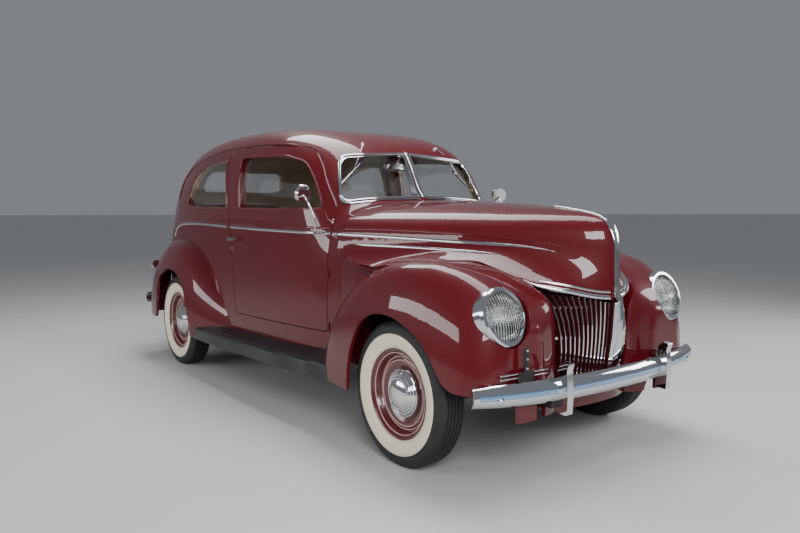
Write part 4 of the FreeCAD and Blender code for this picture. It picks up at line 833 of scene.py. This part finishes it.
def boxed(name, low, high, edge, material):
    """A box on the chassis between two corners, with rounded edges."""
    bpy.ops.object.select_all(action="DESELECT")
    middle = [(a + b) / 2 for a, b in zip(low, high)]
    bpy.ops.mesh.primitive_cube_add(size=1.0, location=middle)
    piece = bpy.context.object
    piece.name = name
    piece.scale = [b - a for a, b in zip(low, high)]
    bpy.ops.object.transform_apply(location=False, rotation=False, scale=True)
    applied(piece, "BEVEL", width=edge, segments=3)
    return finish(piece, "chassis", material, 35)


for side, word in SIDES:
    low_y, high_y = sorted((side * 0.02, side * 0.592))
    base = boxed("front_seat_base_" + word, (-0.325, low_y, 0.4625), (0.222, high_y, 0.566), 0.012, board)
    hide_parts("front_seat")
base = boxed("rear_seat_base", (-1.545, -0.552, 0.541), (-0.965, 0.552, 0.606), 0.01, board)
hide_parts("rear_seat")
shelf = boxed("parcel_shelf", (-1.885, -0.52, 1.182), (-1.69, 0.52, 1.194), 0.004, board)
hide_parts("rear_seat")

# Floor mat: moulded black rubber ahead of the seat, mottled with a noise bump; the real mat's ribs across the
# car are not drawn.
mat_rubber = plain_finish("moulded_floor_mat_rubber", 30.0, "1c1a19", "2a2725", 0.3, 0.001, Roughness=0.7)
lining("floor_mat", "front_floor", lambda c, n: n.z > 0.4 and abs(c.y) < 0.62 and -1.0 < c.x < 0.9, 0.001,
       0.004, "chassis", mat_rubber)

# Dash panel: pressed steel in brown metallic enamel, with bright instrument bezels.
dash_paint = plain_finish("brown_metallic_dash_enamel", 3.0, "4d3226", "5b3c2d", 0.02, 0.0006,
                          Metallic=0.25, Roughness=0.3, Coat_Weight=0.6)
dress(["dashboard"], dash_paint)
dial_face = plain_finish("cream_printed_dial_card", 50.0, "c9b78f", "d8c8a4", Roughness=0.5)
needle_red = plain_finish("red_lacquered_needle", 90.0, "8c1510", "a01c15", Roughness=0.35)
for n, (y, z, radius) in enumerate([(0.34, 1.165, 0.058), (0.205, 1.165, 0.04), (0.475, 1.165, 0.04),
                                    (-0.38, 1.165, 0.045)]):
    hit = struck(["dashboard"], (0.0, y, z), (1, 0, 0))
    facing = hit[2].to_track_quat("Y", "Z")
    for title, profile, material, slot in [
        ("bezel", [(-0.004, radius), (0.004, radius), (0.008, radius * 0.96), (0.009, radius * 0.91),
                   (0.005, radius * 0.86), (-0.004, radius * 0.86)], chrome, "chrome"),
        ("card", [(0.0012, 0.0), (0.0012, radius * 0.87), (0.0, radius * 0.88), (-0.003, radius * 0.88),
                  (-0.003, 0.0)], dial_face, None),
        ("boss", [(0.0, 0.0), (0.0, radius * 0.1), (0.004, radius * 0.09), (0.005, 0.0)], chrome, "chrome"),
    ]:
        closed = profile + profile[:1] if title == "bezel" else profile
        piece = turned("dash_%s_%d" % (title, n), closed, 40)
        finish(stood(piece, hit[1], hit[2]), "chassis", material, 35)
    up = facing @ Vector((0, 0, 1))
    across = facing @ Vector((1, 0, 0))
    for tick in range(11):
        angle = radians(-130 + 26 * tick)
        way = up * cos(angle) + across * sin(angle)
        start = hit[1] + hit[2] * 0.0016 + way * radius * 0.66
        end = hit[1] + hit[2] * 0.0016 + way * radius * (0.8 if tick % 2 == 0 else 0.75)
        line = [(start, hit[2], 0.0007, 0.0004), (end, hit[2], 0.0007, 0.0004)]
        moulding("dash_tick_%d_%d" % (n, tick), line, ROUND, "chassis", mat_rubber)
    way = up * cos(radians(-60)) + across * sin(radians(-60))
    moulding("dash_needle_%d" % n, [(hit[1] + hit[2] * 0.003 - way * 0.006, hit[2], 0.0011, 0.0006),
                                    (hit[1] + hit[2] * 0.003 + way * radius * 0.7, hit[2], 0.0004, 0.0004)],
             ROUND, "chassis", needle_red)
for n in range(9):
    line = []
    for z in (1.085, 1.115, 1.145, 1.175, 1.205):
        hit = struck(["dashboard"], (0.0, -0.068 + 0.017 * n, z), (1, 0, 0))
        line.append((hit[1], hit[2], 0.003, 0.004))
    moulding("dash_grille_bar_%d" % n, line, HALF_ROUND, "chassis", chrome, "chrome")

# Steering gear: column in black enamel, wheel in ivory moulded plastic on a steel ring.
ivory = plain_finish("ivory_moulded_plastic", 12.0, "b9a47e", "c9b690", 0.05, 0.0005, Roughness=0.28,
                     Coat_Weight=0.4)
dress(["steering_wheel"], ivory)
dress(["steering_column"], chassis_black)
mirror_glass = plain_finish("silvered_mirror_glass", 4.0, "dfe3e6", "e8ebee", Metallic=1.0, Roughness=0.02)
hub_way = Vector((-0.506, 0.0, 0.37)).normalized()
horn = turned("horn_button", [(0.0, 0.0), (0.0, 0.034), (0.006, 0.033), (0.011, 0.028), (0.014, 0.016),
                              (0.015, 0.0)], 40)
stood(horn, Vector((0.33, 0.34, 1.09)) + hub_way * 0.024, hub_way)
finish(horn, body_of(frame["nodes"]["steering_wheel"])[0], chrome, 30)

# Interior mirror: an oval glass in a bright steel back, on a stem from the header.
MIRROR_OVAL = (1.9, 1.0, 0.62)
back_profile = [(-0.004, 0.0), (-0.004, 0.05), (0.004, 0.052), (0.01, 0.044), (0.014, 0.026), (0.015, 0.0)]
glass_profile = [(-0.0055, 0.0), (-0.0055, 0.047), (-0.0042, 0.047), (-0.0042, 0.0)]
for title, profile, material in (("back", back_profile, chrome), ("glass", glass_profile, mirror_glass)):
    oval = turned("interior_mirror_" + title, profile, 48)
    oval.rotation_euler = (0, 0, radians(-90))
    oval.scale = MIRROR_OVAL
    oval.location = (0.505, 0.0, 1.5)
    finish(oval, "chassis", material, 40)
rod("interior_mirror_stem", [(0.516, 0.0, 1.503), (0.535, 0.0, 1.535), (0.55, 0.0, 1.57), (0.56, 0.0, 1.59)],
    0.004, 10, chrome, "chrome")

# Boot fittings: a plated T handle with its lock barrel, and two hinge leaves at the top.
boot_body = body_of(frame["nodes"]["trunk_lid"])[0]
grip = struck(["trunk_lid"], (-3.0, 0.0, 0.78), (1, 0, 0))
handle_rings = [(-0.004, 0.02), (0.004, 0.02), (0.008, 0.014), (0.012, 0.009), (0.034, 0.008), (0.04, 0.008)]
ringed("boot_handle_stem", grip[1], grip[2], handle_rings, Vector((0, 0, 1)), boot_body, chrome, "chrome")
bar = [grip[1] + grip[2] * (0.04 - 0.006 * abs(k) / 3) + Vector((0, 0.018 * k, 0)) for k in range(-3, 4)]
moulding("boot_handle_grip", [(p, grip[2], 0.0085 * (1 - 0.12 * abs(k - 3)), 0.007 * (1 - 0.12 * abs(k - 3)))
                              for k, p in enumerate(bar)], ROUND, boot_body, chrome, "chrome")
for side, word in SIDES:
    leaf = []
    for z in (1.12, 1.15, 1.18, 1.21, 1.235):
        hit = struck(["trunk_lid"], (-3.0, side * 0.29, z), (1, 0, 0))
        leaf.append((hit[1], hit[2], 0.013, 0.007))
    moulding("boot_hinge_" + word, leaf, HALF_ROUND, boot_body, chrome, "chrome")

# Door hinges: small painted barrels standing proud at the front edge of each door.
for side, word in SIDES:
    for n, (x, z) in enumerate(((0.752, 0.56), (0.748, 0.86), (0.728, 1.15))):
        hit = struck_from_side(["body_shell", "cowl_sides"], x + 0.012, z, side)
        if hit:
            ringed("door_hinge_%s_%d" % (word, n), hit[1] + hit[2] * 0.002, Vector((0, 0, 1)),
                   [(-0.026, 0.004), (-0.024, 0.0075), (0.0, 0.008), (0.024, 0.0075), (0.026, 0.004)],
                   hit[2], "chassis", enamel, "paint")

# Engine dressing: oil bath air cleaner, plugs with their leads, and the two top hoses.
hose_rubber = plain_finish("reinforced_black_hose_rubber", 120.0, "161616", "222122", 0.3, 0.0008,
                           Roughness=0.7)
top = struck(["engine_block"], (1.45, 0.0, 2.0), (0, 0, -1))[1].z
cleaner = turned("air_cleaner", [(0.0, 0.0), (0.0, 0.036), (0.018, 0.04), (0.024, 0.098), (0.032, 0.108),
                                 (0.06, 0.11), (0.07, 0.104), (0.074, 0.06), (0.08, 0.02), (0.088, 0.014),
                                 (0.09, 0.0)], 56)
cleaner.rotation_euler = (radians(90), 0, 0)
cleaner.location = (1.45, 0.0, top)
finish(cleaner, "chassis", chassis_black, 35)
PLUG_RINGS = [(-0.003, 0.01), (0.01, 0.01), (0.011, 0.007), (0.034, 0.006), (0.038, 0.003)]
PLUG_PITCH = 0.105
for side, word in SIDES:
    for n in range(4):
        x = 1.3 + PLUG_PITCH * n
        head = struck(["engine_block"], (x, side * 0.11, 2.0), (0, 0, -1))[1]
        ringed("spark_plug_%s_%d" % (word, n), head, Vector((0, 0, 1)), PLUG_RINGS, Vector((0, 1, 0)),
               "chassis", ivory)
        rise = [head + Vector((0, 0, 0.036)), head + Vector((0.012, side * 0.004, 0.06)),
                Vector((x + 0.06, side * 0.132, head.z + 0.05)), Vector((1.7, side * 0.12, head.z + 0.012))]
        rod("plug_lead_%s_%d" % (word, n), rise, 0.0034, 18, hose_rubber, out=(0, 0.3, 1))
    hose = [(1.64, side * 0.13, top - 0.03), (1.7, side * 0.13, top + 0.02), (1.79, side * 0.13, top + 0.015),
            (1.88, side * 0.13, top - 0.01)]
    rod("top_hose_" + word, hose, 0.021, 16, hose_rubber)

# Pedals and gear lever: rubber pads on steel arms, and a rod with a round knob.
for title, y in (("clutch", 0.43), ("brake", 0.29)):
    boxed(title + "_pedal_pad", (0.69, y - 0.03, 0.6), (0.702, y + 0.03, 0.66), 0.005, mat_rubber)
    arm = [(0.7, y, 0.63), (0.74, y, 0.6), (0.78, y, 0.52), (0.8, y, 0.45)]
    rod(title + "_pedal_arm", arm, 0.006, 10, chassis_black)
lever = [(0.42, 0.0, 0.43), (0.41, 0.0, 0.56), (0.37, 0.0, 0.72), (0.35, 0.0, 0.8)]
rod("gear_lever", lever, 0.0065, 14, chrome)
knob = turned("gear_knob", [(0.0, 0.0), (0.002, 0.012), (0.012, 0.022), (0.026, 0.025), (0.04, 0.019),
                            (0.047, 0.008), (0.048, 0.0)], 32)
knob.rotation_euler = (radians(90), 0, 0)
knob.location = (0.348, 0.0, 0.795)
finish(knob, "chassis", mat_rubber, 50)

# Grille: a pressed surround with upright bars, enamelled maroon between them. Only the
# front edge of each bar is polished and plated, so the flanks stay dark.
grille_finish, tree, shader = new_material("plated_and_enamelled_grille")
shape = node(tree, "ShaderNodeNewGeometry")
facing = node(tree, "ShaderNodeSeparateXYZ", links={"Vector": shape.outputs["Normal"]})
edge = node(tree, "ShaderNodeMapRange", None, {"Value": facing.outputs["X"]}, From_Min=0.5, From_Max=0.66)
blend(tree, shader, edge.outputs["Result"], "3c0a12", "d8dade")
tree.links.new(edge.outputs["Result"], shader.inputs["Metallic"])
rough = node(tree, "ShaderNodeMapRange", None, {"Value": edge.outputs["Result"]}, To_Min=0.35, To_Max=0.08)
tree.links.new(rough.outputs["Result"], shader.inputs["Roughness"])
dress(["grille"], grille_finish)

# Head lamps: silvered bowls behind fluted lenses, held by the teardrop rims.
lens_glass, tree, shader = new_material("fluted_lamp_glass")
ridges(tree, shader, "Y", 22.0, 0.7, 0.004)
surface(shader, Base_Color=linear("f4f6f4"), Transmission_Weight=1.0, Roughness=0.1, IOR=1.35)
dress(["headlamp_lenses"], lens_glass)
silvered = plain_finish("silvered_reflector_bowl", 20.0, "e2e4e6", "eff0f1", Metallic=0.9, Roughness=0.22)
lamp_way = Vector((0.946, 0.0, 0.325))
for side, word in SIDES:
    place = Vector((2.078, side * 0.598, 0.775))
    bowl = turned("lamp_bowl_" + word, [(-0.012, 0.106), (-0.03, 0.1), (-0.05, 0.088), (-0.066, 0.068),
                                        (-0.076, 0.042), (-0.079, 0.0), (-0.081, 0.0), (-0.078, 0.043),
                                        (-0.068, 0.07), (-0.052, 0.09), (-0.031, 0.102), (-0.012, 0.108),
                                        (-0.012, 0.106)], 56)
    finish(stood(bowl, place, lamp_way), "chassis", silvered, 50)
    bulb = turned("lamp_bulb_" + word, [(-0.078, 0.0), (-0.078, 0.009), (-0.052, 0.009), (-0.046, 0.013),
                                        (-0.036, 0.014), (-0.028, 0.009), (-0.025, 0.0)], 24)
    finish(stood(bulb, place, lamp_way), "chassis", silvered, 50)

# Bumper stripes: three blue lines of enamel baked along the middle ridge of each bar.
blue_line = plain_finish("blue_baked_line_enamel", 30.0, "1d6fb0", "2f86c6", Roughness=0.3)
LINE_END_Y = 0.78
LINE_STEP = 0.0195
GUARD_Y = 0.371
GUARD_HALF_WIDTH = 0.03
for end, word in ((1, "front"), (-1, "rear")):
    for n, z in enumerate((0.4445, 0.4525, 0.4605)):
        line = []
        for k in range(81):
            y = -LINE_END_Y + LINE_STEP * k
            if abs(abs(y) - GUARD_Y) < GUARD_HALF_WIDTH:
                if len(line) > 3:
                    moulding("%s_bumper_line_%d_%d" % (word, n, k), line, HALF_ROUND, "chassis", blue_line)
                line = []
                continue
            hit = struck([word + "_bumper"], (3.0 * end, y, z), (-end, 0, 0))
            if hit:
                line.append((hit[1], hit[2], 0.0022, 0.0009))
        if len(line) > 3:
            moulding("%s_bumper_line_%d_end" % (word, n), line, HALF_ROUND, "chassis", blue_line)
    for y in (-0.69, 0.69):
        hit = struck([word + "_bumper"], (3.0 * end, y, 0.435), (-end, 0, 0))
        bolt = turned("%s_bumper_bolt_%s" % (word, "left" if y > 0 else "right"), [
            (-0.002, 0.0), (-0.002, 0.017), (0.003, 0.0165), (0.006, 0.013), (0.008, 0.0)], 32)
        finish(stood(bolt, hit[1], hit[2]), "chassis", chrome, 30)

# Plate bracket: a black steel tongue behind the bumper with two bright clamp bars. It
# carries no plate.
boxed("plate_bracket_tongue", (2.168, -0.562, 0.52), (2.173, -0.534, 0.651), 0.002, chassis_black)
boxed("plate_bracket_foot", (2.164, -0.595, 0.47), (2.171, -0.5, 0.545), 0.003, chassis_black)
for n, z in enumerate((0.524, 0.541)):
    bar = [(2.157, -0.69, z + 0.001), (2.166, -0.548, z), (2.17, -0.41, z - 0.002)]
    moulding("plate_clamp_bar_%d" % n, [(p, Vector((1, 0, 0)), 0.0038, 0.003) for p in smooth_line(bar, 14)],
             ROUND, "chassis", chrome, "chrome")
for n, z in enumerate((0.56, 0.6, 0.636)):
    rivet = turned("plate_bracket_rivet_%d" % n, [(0.0, 0.0), (0.0, 0.006), (0.003, 0.005), (0.004, 0.0)], 20)
    rivet.rotation_euler = (0, 0, radians(-90))
    rivet.location = (2.173, -0.548, z)
    finish(rivet, "chassis", chrome, 30)

# Tail lamps: teardrop housings in plated die casting with a red ribbed lens behind.
dress(["tail_lamps"], chrome)
red_lens, tree, shader = new_material("ribbed_red_lamp_glass")
mottle(tree, shader, 20.0, "7d0a0c", "a01012")
ridges(tree, shader, "Z", 40.0, 0.6, 0.002)
surface(shader, Roughness=0.12, Coat_Weight=1.0)
lining("tail_lenses", "tail_lamps", lambda c, n: n.x < -0.6, 0.0012, 0.0015, "chassis", red_lens)
